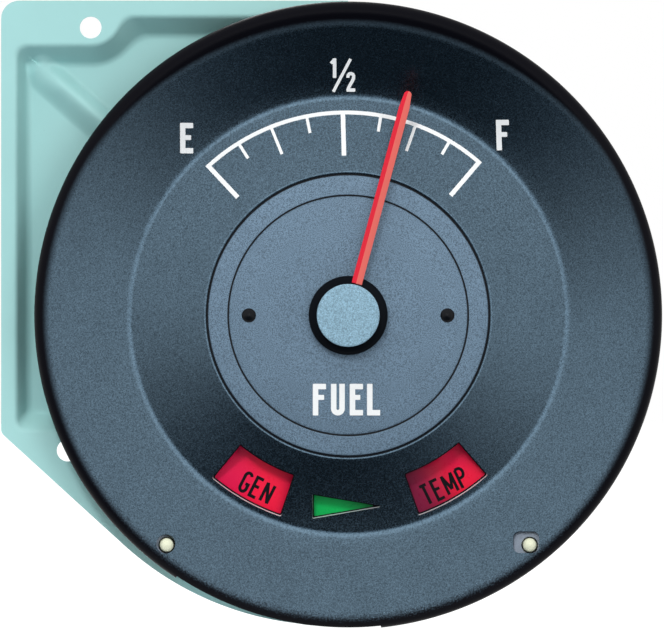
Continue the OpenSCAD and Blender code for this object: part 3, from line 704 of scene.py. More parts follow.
def round_corner(a, b, c, r, n=8):
    """The corner at b, between lines to a and c, as an arc."""
    u, v = ([(p[i] - b[i]) / math.dist(p, b) for i in (0, 1)] for p in (a, c))
    half = math.acos(u[0] * v[0] + u[1] * v[1]) / 2
    w = (u[0] + v[0], u[1] + v[1])
    centre = [b[i] + w[i] / math.hypot(*w) * r / math.sin(half) for i in (0, 1)]
    reach = r / math.tan(half)
    a0, a1 = (bearing(*[b[i] + way[i] * reach - centre[i] for i in (0, 1)]) for way in (u, v))
    turn = (a1 - a0 + 540) % 360 - 180
    return arc(centre, r, a0, a0 + turn, n)


def flange_outline():
    """Counter-clockwise from the top: left edge, diagonal, belly and round flange."""
    top, upper, lower = (0, FLANGE_TOP), (FLANGE_LEFT, FLANGE_TOP), (FLANGE_LEFT, -24.0)
    run = (lower[0] - BELLY_C[0], lower[1] - BELLY_C[1])
    start = 360 + bearing(*run) + math.degrees(math.acos(BELLY_R / math.hypot(*run)))
    belly = arc(BELLY_C, BELLY_R, start, 263, 40)
    corners = round_corner(top, upper, lower, 3.7) + round_corner(upper, lower, belly[0], 1.85)
    return [top] + corners + belly + arc((-1.6, 0), 63.6, 263.5, 448.5, 160)


def housing_piece():
    """The flange and the tray as one sheet round the can's mouth."""
    outline = divide(flange_outline(), 0.8, True)
    holes = [circle(p, HOLE_R, 64) for p in (UPPER_HOLE, LOWER_HOLE)]
    holes += [circle(p, FOOT_HOLE_R, 32) for p in POSTS]
    fine, coarse = (0.28, 1.6) if FINE else (0.5, 2.5)
    left, low, wide, tall = -70.7, -25.5, 64, 90
    extra = []
    for i in range(int(wide / fine)):
        for j in range(int(tall / fine)):
            x, y = left + i * fine + (j % 2) * fine / 2, low + j * fine
            if math.hypot(x, y) < TRAY_GRID_R or not inside((x, y), outline):
                continue
            near = ((x - 1, y), (x + 1, y), (x, y - 1), (x, y + 1))
            flat = all(flange_z(*p) == flange_z(x, y) for p in near)
            if not flat or (i % 5 == 0 and j % 4 == 0):
                extra.append((x, y))
    left, low, wide, tall = -69, -26, 64, 92
    columns, rows = range(int(wide / coarse)), range(int(tall / coarse))
    grid = [(left + i * coarse, low + j * coarse) for i in columns for j in rows]
    extra += [p for p in grid if CAN_R + 0.8 < math.hypot(*p) < TRAY_GRID_R and inside(p, outline)]
    for x in (TRAY_RIGHT - 2.2, TRAY_RIGHT - 1.0, TRAY_RIGHT, TRAY_RIGHT + 1.0):
        column = [(x, CAN_R + k * 1.4) for k in range(1, 7)]
        extra += [p for p in column if inside(p, outline)]

    def in_sheet(p):
        outside_can = math.hypot(*p) > CAN_R * 0.9999
        return outside_can and inside(p, outline) and not any(inside(p, hole) for hole in holes)

    def top(x, y):
        return (x, y, flange_z(x, y, TRAY_SEEN))

    def bottom(x, y):
        n = flange_normal(x, y)
        return (x - n[0] * SHEET_T, y - n[1] * SHEET_T, flange_z(x, y) - n[2] * SHEET_T)

    flat, faces = fill([outline, circle((0, 0), CAN_R, 240)] + holes, extra, in_sheet)
    shape = Shape().add(slab(flat, faces, top, bottom))
    sheet = build(shape, "housing_sheet", [mint], "mint_paint", ["housing"], 40)
    bevel(sheet, 0.16, 50)
    settle(sheet, 40)


def can_piece():
    """The drawn can behind the flange, with its rim following the tray."""
    bend_in, bend_out, lip_c, lip_r = 3.0, 4.2, (56.8, -2.8), 1.6
    profile = [(CAN_R + 0.02, 0.0), (CAN_R - 0.01, -0.2)]
    profile += round_corner((CAN_R, 0), (CAN_R - 1.6, CAN_FLOOR), (0, CAN_FLOOR), bend_in)
    profile += [(10.0, CAN_FLOOR), (0.0, CAN_FLOOR), (0.0, CAN_BACK), (10.0, CAN_BACK)]
    profile += round_corner((CAN_R + 1.2, 0), (CAN_R - 0.4, CAN_BACK), (0, CAN_BACK), bend_out)[::-1]
    profile += arc(lip_c, lip_r, 100, 180, 5)[::-1] + [(56.5, -0.6)]

    def follow(x, y, z):
        if z > -6.5 and math.hypot(x, y) > 50:
            z += flange_z(*polar(CAN_R + 1.0, bearing(x, y))) * min(1.0, 1.0 + (z - lip_c[1]) * 0.1)
        return (x, y, z)

    verts, faces = revolve(profile, 240 if FINE else 120)
    shape = Shape().add(([follow(*v) for v in verts], faces))
    can = build(shape, "housing_can", [mint], "mint_paint", ["housing"], 35)
    holes = Shape()

    def drill(outline, spot):
        holes.add(prism(outline, CAN_BACK - 1, CAN_FLOOR + 1), *spot)

    stud_hole_r, screw_hole_r = 4.05, 1.6
    seat_r, notch_r, notch_at, notch_half = 6.0, 7.7, 120, 21
    seat = []
    for t in range(0, 360, 3):
        off = (t - notch_at) % 180
        seat.append(polar(notch_r if min(off, 180 - off) < notch_half else seat_r, t))
    for a in LAMPS.values():
        drill(seat, polar(LAMP_RING, a))
    for spot in STUDS:
        drill(circle((0, 0), stud_hole_r, 48), spot)
    for a in CHUTE_SCREWS:
        drill(circle((0, 0), screw_hole_r, 32), polar(LAMP_RING, a))
    cut(can, holes, 35)


# The dial
def dial_profile():
    opening = OPEN_R - 0.18
    lip_end = opening + 0.55
    lip_c = about((lip_end, dial_z(lip_end)), -LIP_R, 90 - CONE)
    front = arc(about(lip_c, LIP_R - LIP_EDGE, 90 + LIP_LEAN), LIP_EDGE, 180, 90 + LIP_LEAN, 4)
    front += arc(lip_c, LIP_R, 90 + LIP_LEAN, 90 - CONE, 6)[1:]
    valley = arc(IN_C, VALLEY_ROUND, 270 - CONE, 270, 6) + arc(TURN_C, TURN_ROUND, 270, 270 + TURN, 8)[1:]
    valley += arc(OUT_C, BOWL_ROUND, 270 + TURN, 270 + BOWL, 8)[1:]
    rim = arc(RIM_C, RIM_ROUND, 90 + BOWL, 0, 14)
    rim_in = arc(RIM_C, RIM_ROUND - DIAL_T, 0, 90 + BOWL, 8)
    valley_in = arc(OUT_C, BOWL_ROUND + DIAL_T, 270 + BOWL, 270 + TURN, 6)
    valley_in += arc(TURN_C, TURN_ROUND + DIAL_T, 270 + TURN, 270, 5)[1:]
    valley_in += arc(IN_C, VALLEY_ROUND + DIAL_T, 270, 270 - CONE, 6)[1:]
    back = (opening, dial_z(opening) - DIAL_T / COS_CONE)
    skirt = [(RIM_R, SKIRT_Z + 0.1), (RIM_R - 0.1, SKIRT_Z), (RIM_R - DIAL_T, SKIRT_Z)]
    line = front + valley + rim + skirt + rim_in + valley_in + [back]
    return divide(line, 1.3 if FINE else 2.6, True)


def through_sheet(points, slope):
    """A cutter whose walls stand square to the sheet, which falls outwards by slope."""
    cos, sin = polar(1, slope)
    spare = 1.2
    loops = [[], []]
    for x, y in points:
        r = math.hypot(x, y)
        z = VALLEY_Z + (VALLEY_R - r) * sin / cos
        for loop, d in zip(loops, (-DIAL_T - spare, spare)):
            k = 1 + sin * d / r
            loop.append((x * k, y * k, z + cos * d))
    return loft(loops)


def sector(r0, r1, a0, a1, n):
    return arc((0, 0), r1, a0, a1, n) + arc((0, 0), r0, a1, a0, n)


def window(r0, r1, a0, a1, r=0.4, n=20):
    """A sector with rounded corners."""
    loop = []
    for radius, start, end, way in ((r1, a0, a1, -1), (r0, a1, a0, 1)):
        turn = math.copysign(math.degrees(r / radius), end - start)
        line = arc((0, 0), radius, start + turn, end - turn, n)
        for a, points in ((start, line[:1]), (end, line[-1:])):
            corners = (polar(radius + way * r, a), polar(radius, a), points[0])
            bend = []
            for t in (0.0, 0.25, 0.5, 0.75):
                weights = ((1 - t) ** 2, 2 * t * (1 - t), t * t)
                bend.append(tuple(sum(w * p[k] for w, p in zip(weights, corners)) for k in (0, 1)))
            loop += bend + line if a == start else bend[::-1]
    return loop


def rounded_loop(points, r, n=4):
    k = len(points)
    return [q for i in range(k) for q in round_corner(points[i - 1], points[i], points[(i + 1) % k], r, n)]


def box(x0, y0, x1, y1, r=0.12, n=3):
    """A rectangle with rounded corners."""
    r = min(r, (x1 - x0) / 2.2, (y1 - y0) / 2.2)
    return rounded_loop([(x0, y0), (x1, y0), (x1, y1), (x0, y1)], r, n)


def dial_piece():
    shape = Shape().add(revolve(dial_profile(), 384 if FINE else 192))
    dial = build(shape, "dial_pressing", [dial_paint, cut_edge_highlight], "dial_paint", ["dial_face"], 40)
    windows = [window(*WINDOW_R, *ends) for ends in (LEFT_WINDOW, RIGHT_WINDOW)]
    windows.append(divide(rounded_loop(ARROW, 0.18), 1.0, True))
    (x, y), (slot_x, slot_y) = POSTS
    pin_hole = circle((x - 0.15, y + 0.25), PIN_HOLE_R, 48)
    slot = box(slot_x - 3.4, slot_y - 1.6, slot_x + 1.9, slot_y + 2.8, 1.3, 8)
    holes = Shape()
    for outline, slope in [(outline, CONE) for outline in windows] + [(pin_hole, -BOWL), (slot, -BOWL)]:
        holes.add(through_sheet(outline, slope))
    relief_z = RIM_C[1] + math.sqrt(RIM_ROUND ** 2 - (RIM_ROUND - RELIEF) ** 2)
    holes.add(prism(sector(*RELIEF_R, *RELIEF_ENDS, 30), -1, relief_z))
    cut(dial, holes, 38)
    # The windows' cut walls take the light grey paint, as a painted highlight.
    walls_from, walls_to = 31, 45
    for f in dial.data.polygons:
        upright = abs(f.normal.y) < 0.5
        if upright and walls_from < math.hypot(f.center.x, f.center.z) / MM < walls_to:
            f.material_index = 1


# Marks on the dial
def inked(name, polygons, height=dial_face_z, slot="dial_paint", ink=white_ink, proud=0.05, cell=0.4):
    """Ink a little proud of the paint, following the surface below it."""
    loops = [divide(p, cell, True) for p in polygons]
    x0, y0 = (min(p[k] for loop in loops for p in loop) for k in (0, 1))
    x1, y1 = (max(p[k] for loop in loops for p in loop) for k in (0, 1))

    def within(p):
        return any(inside(p, loop) for loop in loops)

    columns, rows = range(1, int((x1 - x0) / cell)), range(1, int((y1 - y0) / cell))
    grid = [(x0 + i * cell, y0 + j * cell) for i in columns for j in rows]
    shape = film(loops, [p for p in grid if within(p)], within, height, proud, proud)
    build(shape, name, [ink], slot, (), 40)


def stroke(points, width):
    """The outline of a line of that width."""
    line = [complex(*p) for p in points]
    ways = [(b - a) / abs(b - a) for a, b in zip(line, line[1:])]
    sides = ([], [])
    for p, u, v in zip(line, ways[:1] + ways, ways + ways[-1:]):
        across = (u + v) * 1j
        across *= width / max(abs(across) ** 2, 0.4)
        for side, q in zip(sides, (p + across, p - across)):
            side.append((q.real, q.imag))
    return sides[0] + sides[1][::-1]


def bar_letter(kind, x, y, w, h, t, mid=0.57, mid_w=0.86):
    """A condensed capital of bars with its lower left corner at x, y."""
    bars = [box(x, y, x + t, y + h)]
    if kind in "EF":
        middle = y + h * mid
        bars.append(box(x, y + h - t, x + w, y + h))
        bars.append(box(x, middle - t * 0.45, x + w * mid_w, middle + t * 0.45))
    if kind in "EL":
        bars.append(box(x, y, x + w, y + t))
    return bars


def letter_u(x, y, w, h, t):
    r = (w - t) / 2
    c = (x + w / 2, y + t / 2 + r)
    line = [(x + t / 2, y + h)] + arc(c, r, 180, 360, 12) + [(x + w - t / 2, y + h)]
    return [stroke(line, t)]


def letters():
    """FUEL on the centre plate; E, F and one half on the dial."""
    t, h, y = 1.12, 6.45, -20.39
    word = bar_letter("F", -7.21, y, 2.68, h, t) + letter_u(-3.51, y, 2.82, h, t)
    word += bar_letter("E", 0.31, y, 2.70, h, t, mid_w=0.8) + bar_letter("L", 3.84, y, 2.68, h, t)
    inked("word_fuel", word, disc_z, "centre_paint", cell=0.5)
    form = (2.66, 6.2, 1.08, 0.52, 0.84)
    inked("letter_empty", bar_letter("E", -34.28, 33.06, *form))
    foot, lean = 33.69, 0.035
    full = [[(x - lean * (y - foot), y) for x, y in p] for p in bar_letter("F", 30.32, foot, *form)]
    inked("letter_full", full)
    curve = [(-0.06, 48.46), (-0.02, 48.95), (0.22, 49.26), (0.59, 49.34), (0.96, 49.2), (1.12, 48.83),
             (1.08, 48.34), (0.84, 47.77), (0.39, 47.03), (0.08, 46.42), (0.0, 45.99)]
    inked("half_one", [box(-3.13, 48.46, -2.41, 52.42), stroke([(-3.51, 51.4), (-2.8, 52.14)], 0.66)])
    inked("half_bar", [stroke([(-3.04, 45.64), (0.49, 52.3)], 0.62)])
    inked("half_two", [stroke(curve, 0.66), box(-0.35, 45.64, 1.45, 46.34)])


def scale_marks():
    """Band and ticks, in degrees clockwise from the top."""
    ticks = (-43.1, -32.5, -22.3, -11.8, -1.5, 9.3, 19.5, 30.2, 40.5)
    long_ends = {0: 32.95, 2: 35.55, 4: 32.59, 6: 35.55, 8: 32.16}
    short_end, band = 38.0, 0.8

    def outer(a):
        return lerp(42.13, 41.49, (a - ticks[0]) / (ticks[-1] - ticks[0]))

    angles = [lerp(ticks[0], ticks[-1], i / 120) for i in range(121)]
    line = [polar(outer(a), 90 - a) for a in angles]
    polygons = [line + [polar(outer(a) - band, 90 - a) for a in angles[::-1]]]
    for i, a in enumerate(ticks):
        half = 0.46 if i % 4 == 0 else 0.31
        place = shifted(0, 0, 90 - a)
        low, high = long_ends.get(i, short_end), outer(a)
        corners = ((low, -half), (high, -half), (high, half), (low, half))
        polygons.append([place(*corner) for corner in corners])
    inked("scale_marks", polygons, cell=0.45)


def letter_strokes():
    """Capitals of one unit height as lines, each with its width."""
    w = 0.34
    wide, half, tall, mid = w * 1.1, w * 0.52, w * 1.45, w * 0.72
    g = bow((w / 2, 0.8), w / 2, 0.2, 20, 180, 10) + bow((w / 2, 0.2), w / 2, 0.2, 180, 360, 10)
    loop = bow((w * 0.5, 0.76), w * 0.5, 0.24, 90, -90, 10)
    stem = [(0, 0), (0, 1)]
    return {
        "G": (w, [g + [(w, 0.42), (w * 0.55, 0.42)]]),
        "E": (w, [[(w, 1), (0, 1), (0, 0), (w, 0)], [(0, 0.54), (w * 0.85, 0.54)]]),
        "N": (wide, [stem, [(0, 1), (wide, 0)], [(wide, 0), (wide, 1)]]),
        "T": (w * 1.05, [[(0, 1), (w * 1.05, 1)], [(half, 1), (half, 0)]]),
        "M": (tall, [stem, [(0, 1), (mid, 0.2)], [(mid, 0.2), (tall, 1)], [(tall, 1), (tall, 0)]]),
        "P": (w, [stem, [(0, 1)] + loop + [(0, 0.52)]]),
    }


def lens_z(x, y):
    return LENS_TOP


def lens_word(name, word, centre, turn, height, width, gap):
    glyphs = letter_strokes()
    lines, x = [], 0.0
    for letter in word:
        w, strokes = glyphs[letter]
        lines += [[(px + x, py - 0.5) for px, py in s] for s in strokes]
        x += w + gap
    half = (x - gap) / 2
    place = shifted(*centre, turn)
    placed = [[place((px - half) * height, py * height) for px, py in s] for s in lines]
    inked(name, [stroke(s, width) for s in placed], lens_z, "lens_red", black_ink_and_shade, 0.03, 0.6)


def lens_words():
    lens_word("word_gen", "GEN", (-18.65, -35.18), -27.0, 4.0, 0.64, 0.27)
    lens_word("word_temp", "TEMP", (19.59, -34.87), 26.0, 4.05, 0.62, 0.26)


def lens_shade_border(side, clear):
    """Black ink round the clear part of a lens, as painted shade for the gap under the window's cut edge."""
    a0, a1 = LENS_SPANS[side]
    outer = sector(LENS_R[0] + 0.6, LENS_R[1] - 0.6, a0 + 0.8, a1 - 0.8, 20)

    def between(p):
        return inside(p, outer) and not inside(p, clear)

    shape = film([divide(outer, 1.0, True), divide(clear, 0.6, True)], [], between, lens_z, 0.04, 0.03)
    build(shape, side + "_shade_border", [black_ink_and_shade], "screw_black", (), 40)


def lens_shade_borders():
    # Painted shade: black borders inside each window, wider along the outer edge.
    inset, outer_inset = 0.28, 0.5
    turn = math.degrees(inset / WINDOW_R[1])
    for side, (a0, a1) in (("left", LEFT_WINDOW), ("right", RIGHT_WINDOW)):
        lens_shade_border(side, window(WINDOW_R[0] + inset, WINDOW_R[1] - outer_inset, a0 + turn, a1 - turn, 0.3))
    (x0, y0), (x1, y1), (_, y2) = ARROW
    clear = [(x0 + 0.32, y0 + 0.5), (x1 - 1.6, y1 + 0.1), (x0 + 0.32, y2 - 0.3)]
    lens_shade_border("arrow", rounded_loop(clear, 0.15))


# Centre dial and its screws
def centre_piece():
    """The round plate: a rolled edge, a groove and a slightly domed middle."""
    edge, skirt = CENTRE_R + 0.1, CENTRE_R + 0.45
    profile = [(3.0, CENTRE_LOW), (skirt - 0.05, CENTRE_LOW), (skirt, CENTRE_LOW + 0.05), (skirt, 6.22),
               (edge, 6.28)]
    profile += arc((edge - 0.35, CENTRE_TOP - 0.47), 0.35, 0, 88, 8)
    profile += [(RECESS_R + 0.60, CENTRE_TOP - 0.012)]
    profile += arc((RECESS_R + 0.28, CENTRE_TOP - 0.06), 0.06, 88, 170, 4)
    profile += [(RECESS_R + 0.20, GROOVE_Z), (RECESS_R - 0.06, GROOVE_Z), (RECESS_R - 0.10, RECESS_Z - 0.14)]
    profile += arc((RECESS_R - 0.22, RECESS_Z - 0.12), 0.12, 0, 80, 4)
    profile += [(r, disc_z(r)) for r in (24.0, 23.5, *range(23, 17, -1), *range(16, 3, -2), 3.1)]
    profile.append((3.0, disc_z(3.0) - 0.1))
    shape = Shape().add(revolve(divide(profile, 2.5, True), 256 if FINE else 128))
    plate = build(shape, "centre_plate", [centre_grey], "centre_paint", ["centre_dial"], 25)
    holes = Shape()
    for spot in DIAL_SCREWS:
        holes.add(prism(circle((0, 0), 1.0, 32), CENTRE_LOW - 1, CENTRE_TOP + 1), *spot)
    cut(plate, holes, 25)


def screws_piece():
    """Two screws with low domed heads."""
    head_r, head_h = 1.6, 0.9
    dome_r = (head_r ** 2 + head_h ** 2) / (2 * head_h)
    low, top = CENTRE_LOW - 4, RECESS_Z + head_h
    edge = math.degrees(math.asin(1.5 / dome_r))
    profile = [(0.95, low), (0.95, RECESS_Z), (1.5, RECESS_Z), (head_r, RECESS_Z + 0.08)]
    profile += arc((0, top - dome_r), dome_r, 90 - edge, 90, 10)[:-1] + [(0.0, top), (0.0, low)]
    heads = turned(profile, 48, DIAL_SCREWS)
    build(heads, "dial_screws", [screw_black], "screw_black", ["centre_dial_screws"], 35)


# Pointer, hub and cap
def pointer_piece():
    """A roof-shaped blade with its ridge off the middle and a rounded tip."""
    tip_r, taper = 0.36 * POINTER_W, 3.4
    ridge, wall, high = -0.215, 0.25, 0.9
    stations = [(POINTER_ROOT, 1.0), (POINTER_ROOT + 0.12, 1.0)]
    stations += [(lerp(POINTER_ROOT + 1, POINTER_TIP - taper, i / 8), 1.0) for i in range(9)]
    for a in (10, 25, 40, 55, 70, 82):
        across, along = polar(tip_r, a)
        stations.append((POINTER_TIP - tip_r + along, across / (POINTER_W / 2)))
    sections = []
    for k, (y, size) in enumerate(stations):
        half, mid = POINTER_W / 2 * size, ridge * size
        drop = 0.12 if k == 0 else 0.0
        low = HUB_TOP + wall - drop / 2
        top = HUB_TOP + high * (0.55 + 0.45 * size) - 0.03 - drop
        line = ((-half, HUB_TOP), (-half, low), (0.06 - half, low + 0.05), (mid - 0.05, top),
                (mid + 0.05, top), (half - 0.06, low + 0.05), (half, low), (half, HUB_TOP))
        sections.append([(x, y, z) for x, z in line])
    shape = Shape().add(loft(sections), turn=-POINTER_REST)
    n = len(sections[0])
    # The left half of each section takes the crimson copy of the red, as painted shade; the right half keeps
    # the salmon copy, as painted light.
    for k in range(len(sections) - 1):
        shape.mats[k * n:k * n + n // 2] = [1] * (n // 2)
    build(shape, "pointer_blade", [red_painted_lit, red_painted_shade], "pointer_red", ["pointer"], 18, "pointer_assembly")


def hub_pieces():
    hub = [(0.0, HUB_LOW), (HUB_R - 0.1, HUB_LOW), (HUB_R, HUB_LOW + 0.1), (HUB_R, 8.62), (7.98, 8.78),
           (7.42, 9.33), (7.25, HUB_TOP), (0.0, HUB_TOP)]
    build(turned(hub, 128), "hub_ring", [black_satin], "hub_black", ["pointer_hub"], 25, "pointer_assembly")
    edge = 0.28
    cap = [(0.0, HUB_TOP), (CAP_R - 0.04, HUB_TOP), (CAP_R, HUB_TOP + 0.06), (CAP_R, CAP_TOP - edge)]
    cap += arc((CAP_R - edge, CAP_TOP - edge), edge, 0, 90, 5) + [(3.0, CAP_TOP), (0.0, CAP_TOP)]
    build(turned(cap, 128), "cap_disc", [cap_grey], "cap_paint", ["hub_cap"], 25, "pointer_assembly")


# Posts and lenses
def posts_piece():
    """Two moulded pins with a foot behind the flange and a domed end in the dial."""
    dome_z, dome_h = dial_face_z(*POSTS[0]) - 0.2, 1.38
    profile = [(0.0, -2.2), (2.1, -2.2), (2.2, -2.1), (2.2, -1.2), (POST_R, -1.2), (POST_R, 0.0), (1.9, 0.0),
               (1.9, 4.6), (POST_R, 4.9), (POST_R, dome_z)]
    profile += bow((0, dome_z), POST_R, dome_h, 15, 75, 4) + [(0.0, dome_z + dome_h)]
    build(turned(profile, 48, POSTS), "locating_pins", [pin_nylon], "post_nylon", ["locating_posts"], 35)


def lens_pieces():
    for side, material, slot in (("left", lens_red, "lens_red"), ("arrow", lens_green, "lens_green"),
                                 ("right", lens_red_painted_shade, "lens_red")):
        a0, a1 = LENS_SPANS[side]
        loop = divide(sector(*LENS_R, a0 + 0.35, a1 - 0.35, 24), 1.2, True)
        shape = Shape().add(prism(loop, LENS_LOW, LENS_TOP, 0.1))
        build(shape, side + "_lens_window", [material], slot, [side + "_lens"])


# Threads, nuts and screws behind the can
def thread(r_out, depth, pitch, z0, z1, n=40):
    """A thread with a chamfered start, which runs out at its upper end."""
    rows = int((z1 - z0) / pitch * 8)
    rings = []
    for k in range(rows + 1):
        z = lerp(z0, z1, k / rows)
        deep = depth * min(1.0, (z1 - z) / pitch + 0.1)
        ring = []
        for i in range(n):
            phase = (z / pitch - i / n) % 1.0
            r = min(r_out - deep * (1 - abs(2 * phase - 1)), r_out - 0.55 + (z - z0))
            ring.append((*polar(r, 360 * i / n), z))
        rings.append(ring)
    return loft(rings)


def hex_nut(across, bore, z0, z1):
    """A hexagon round a bore, with its corners cut back at both ends."""
    flat_r = across / 2 * 0.97
    angles = range(0, 360, 6)

    def edge(a):
        return across / 2 / math.cos(math.radians(a % 60 - 30))

    def end_rings(z, way):
        corner = [(*polar(edge(a), a), z + way * 0.45 * max(edge(a) - flat_r, 0)) for a in angles]
        return [[(*polar(r, a), z) for a in angles] for r in (bore, flat_r)] + [corner]

    rings = end_rings(z0, 1) + end_rings(z1, -1)[::-1]
    return [v for ring in rings for v in ring], ring_faces(len(rings), len(angles), True)


def back_hardware():
    """Studs with their nuts, and the two cross-head screws of the lamp chute."""
    collar, nut_low = 3.6, -31.6
    body = [(0.0, -20.2), (collar - 0.1, -20.2), (collar, -20.3), (collar, -21.2), (2.6, -21.2),
            (2.6, nut_low), (0.0, nut_low)]
    studs, nuts = turned(body, 48, STUDS), Shape()
    for x, y in STUDS:
        studs.add(thread(STUD_R, 0.38, 0.8, -38.4, nut_low + 0.1), x, y)
        nuts.add(hex_nut(9.5, 2.65, nut_low, -28.4), x, y, 15 * x)
    build(studs, "threaded_studs", [stud_brass], "stud_brass", ["terminal_studs"], 35)
    build(nuts, "hex_nuts", [stud_brass], "stud_brass", ["terminal_nuts"], 25)
    spots = [polar(LAMP_RING, a) for a in CHUTE_SCREWS]
    head = [(0.0, -17.0), (1.3, -17.0), (1.3, -27.2), (2.5, -27.2), (2.6, -27.3), (2.6, -27.9)]
    head += bow((0, -27.9), 2.6, -0.88, 20, 80, 3) + [(0.0, -28.8)]
    screws = build(turned(head, 48, spots), "chute_screw_heads", [zinc], "zinc_steel", ["chute_screws"], 35)
    arm = [(-1.5, -0.22), (1.5, -0.22), (1.5, 0.22), (-1.5, 0.22)]
    for quarter in (0, 90):
        groove = Shape()
        for a, spot in zip(CHUTE_SCREWS, spots):
            groove.add(prism(arm, -29.5, -28.1), *spot, 20 + a + quarter)
        cut(screws, groove, 35)


# Twist-lock lamp holders
def lamp_pieces():
    barrel = [(4.35, -25.8), (5.8, -27.6), (5.9, -27.4), (5.9, -21.15), (5.75, -21.0), (4.5, -21.0),
              (4.35, -21.15)]
    disc = [(0.0, -27.5), (8.0, -27.5), (8.2, -27.7), (8.2, -28.7), (8.0, -28.9), (0.0, -28.9)]
    ribs = 30
    grip = [polar(6.4 if k % 4 < 2 else 6.05, 360 * k / (4 * ribs)) for k in range(4 * ribs)]
    wing = arc((0, 6.9), 1.6, 0, 180, 10) + arc((0, -6.9), 1.6, 180, 360, 10)
    solids = [revolve(barrel, 64), revolve(disc, 72, False), prism(grip, -34.9, -28.8, 0.35),
              prism(wing, -34.4, -28.8, 0.4), prism(circle((0, 0), 4.4, 48), -27.4, -25.8)]
    solids += [prism(sector(4.9, 7.5, a - 18, a + 18, 8), -25.7, -24.5, 0.12) for a in (0, 180)]
    for name, angle in LAMPS.items():
        shape = Shape()
        for solid in solids:
            shape.add(solid, *polar(LAMP_RING, angle))
        node, body = name + "_lamp_holder", name + "_lamp"
        build(shape, name + "_socket", [holder_black], "holder_black", [node], 30, body)


def dressed_nodes():
    """Looks for the CAD nodes that keep their own mesh, with rounded edges where a width is given."""
    for material, edge, names in (
            (ring_grey, 0.12, "backing_ring"), (steel, 0.0, "pointer_shaft"), (steel, 0.08, "pointer_stops"),
            (iron, 0.1, "armature empty_coil_core full_coil_core"), (zinc, 0.08, "balance_arm"),
            (zinc, 0.1, "movement_frame frame_pillars front_bridge"), (brass, 0.15, "balance_weight"),
            (brass, 0.1, "front_bearing rear_bearing"),
            (bobbin_resin, 0.1, "empty_coil_bobbin full_coil_bobbin"),
            (copper, 0.1, "empty_coil_winding full_coil_winding"), (phenolic, 0.12, "terminal_board"),
            (fibre, 0.12, "stud_bushes terminal_washers"), (chute_white, 0.1, "lamp_chute"),
            (bulb_glass, 0.0, "left_lamp_bulb arrow_lamp_bulb right_lamp_bulb")):
        for node in [nodes[name] for name in names.split()]:
            node.data.materials.clear()
            node.data.materials.append(material)
            if edge:
                mod = node.modifiers.new("merge", "DECIMATE")
                mod.decimate_type = "DISSOLVE"
                mod.angle_limit = math.radians(1.5)
                bevel(node, edge, 35)


for make in (housing_piece, can_piece, dial_piece, letters, scale_marks, lens_words, lens_shade_borders, centre_piece,
             screws_piece, pointer_piece, hub_pieces, posts_piece, lens_pieces, back_hardware, lamp_pieces,
             dressed_nodes):
    make()

# Camera, with the image's centre and the pointer's axis in pixels
CAMERA_DISTANCE = 3.2
PX = 0.2037 * MM
IMAGE = (664, 630)
AXIS_PX = (348.2, 315.4)
rim_plane = -(RIM_C[1] + RIM_ROUND) * MM
camera = bpy.data.objects.new("camera", bpy.data.cameras.new("camera"))
bpy.context.scene.collection.objects.link(camera)
bpy.context.scene.camera = camera
right, up = (IMAGE[0] / 2 - AXIS_PX[0]) * PX, (AXIS_PX[1] - IMAGE[1] / 2) * PX
camera.location = (right, rim_plane - CAMERA_DISTANCE, up)
camera.rotation_euler = (math.radians(90), 0, 0)
camera.data.lens = 36.0 * CAMERA_DISTANCE / (IMAGE[0] * PX)
camera.data.clip_end = 50.0

# Light levels
FILL = 0.46
SKY = 1.08
DIM = 0.06
SPOT = 1.45
SPOT_UP = 0.105
SPOT_EDGE = 0.955
WEDGE = (-0.98, 0.03)
WEDGE_LEAN = 0.14


def area_light(name, where, size, power, glossy=False):
    """A square lamp aimed at the pointer's axis."""
    data = bpy.data.lights.new(name, "AREA")
    data.size = size
    data.energy = power
    obj = bpy.data.objects.new(name, data)
    obj.location = where
    obj.rotation_euler = (-Vector(where)).to_track_quat("-Z", "Y").to_euler()
    obj.visible_camera = False
    obj.visible_glossy = glossy
    bpy.context.scene.collection.objects.link(obj)


def seen_rays(tree):
    """1 for the camera's rays and for those in gloss and glass."""
    path = new(tree, "LightPath").outputs
    mirrored = maths(tree, "MAXIMUM", path["Is Glossy Ray"], path["Is Transmission Ray"])
    return maths(tree, "MAXIMUM", path["Is Camera Ray"], mirrored)


def floor_piece():
    """A pale floor under the object, nearly white where it is seen, which still takes the shadow."""
    half_w, front, back, z = 3.0, -0.03, 6.0, cad_box[0][2] - 0.02 * MM
    mesh = bpy.data.meshes.new("floor")
    corners = [(-half_w, front, z), (half_w, front, z), (half_w, back, z), (-half_w, back, z)]
    mesh.from_pydata(corners, [], [(0, 1, 2, 3)])
    obj = bpy.data.objects.new("floor", mesh)
    bpy.context.scene.collection.objects.link(obj)
    m, tree = paint("floor_white", (0.9, 0.9, 0.9), 0.9, specular=0.1)
    glow = new(tree, "Emission", {"Color": (1.0, 1.0, 1.0), "Strength": 1.3}).outputs["Emission"]
    share = maths(tree, "MULTIPLY", seen_rays(tree), 0.82)
    mix = new(tree, "MixShader", [share, tree.nodes["Principled BSDF"].outputs["BSDF"], glow])
    tree.links.new(mix.outputs["Shader"], tree.nodes["Material Output"].inputs["Surface"])
    mesh.materials.append(m)


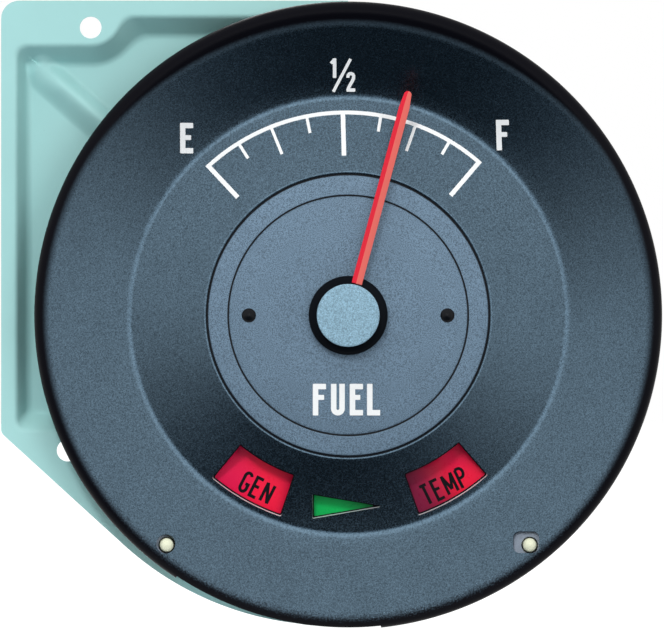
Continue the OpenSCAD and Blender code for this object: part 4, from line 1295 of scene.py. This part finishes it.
def world_light():
    """Even fill; in gloss, a studio bright above and beside the dial, dim in a wedge below."""
    world = bpy.data.worlds.new("studio")
    bpy.context.scene.world = world
    world.use_nodes = True
    tree = world.node_tree
    tree.nodes.clear()
    path = new(tree, "LightPath").outputs
    x, y, z = axes(tree, new(tree, "TexCoord").outputs["Generated"])
    square = maths(tree, "MULTIPLY_ADD", z, z, maths(tree, "MULTIPLY", x, x))
    off = maths(tree, "MAXIMUM", maths(tree, "SQRT", square), 0.01)
    level = maths(tree, "DIVIDE", maths(tree, "MULTIPLY_ADD", x, WEDGE_LEAN, z), off)
    upper = spread(tree, level, *WEDGE)
    towards = maths(tree, "MULTIPLY", y, -math.sqrt(1 - SPOT_UP ** 2))
    middle = spread(tree, maths(tree, "MULTIPLY_ADD", z, SPOT_UP, towards), SPOT_EDGE, 1.0)
    front = maths(tree, "MULTIPLY_ADD", middle, SPOT, maths(tree, "MULTIPLY_ADD", upper, SKY, DIM))
    behind = spread(tree, y, 0.0, 0.3)
    gloss = maths(tree, "MULTIPLY_ADD", maths(tree, "SUBTRACT", 1.0, front), behind, front)
    strength = maths(tree, "MULTIPLY_ADD", maths(tree, "SUBTRACT", gloss, FILL), path["Is Glossy Ray"], FILL)
    seen = maths(tree, "MAXIMUM", path["Is Camera Ray"], path["Is Transmission Ray"])
    tint = ramp(tree, upper, (0.0, (0.62, 0.82, 1.0)), (0.35, (1.0, 1.0, 1.0)))
    studio = new(tree, "Background", {"Color": tint, "Strength": strength}).outputs["Background"]
    white = new(tree, "Background", {"Color": (1.0, 1.0, 1.0)}).outputs["Background"]
    mix = new(tree, "MixShader", [seen, studio, white]).outputs["Shader"]
    new(tree, "OutputWorld", {"Surface": mix})


area_light("key", (-0.46, -1.68, 1.12), 0.4, 18.0)
area_light("overhead", (-0.25, -0.5, 1.7), 0.6, 9.0)
area_light("side lamp", (0.85, -1.55, 0.45), 0.8, 7.5)
area_light("rear", (-0.5, 1.3, 0.8), 0.9, 12.0, glossy=True)
floor_piece()
world_light()
bpy.context.scene.view_settings.view_transform = "Standard"
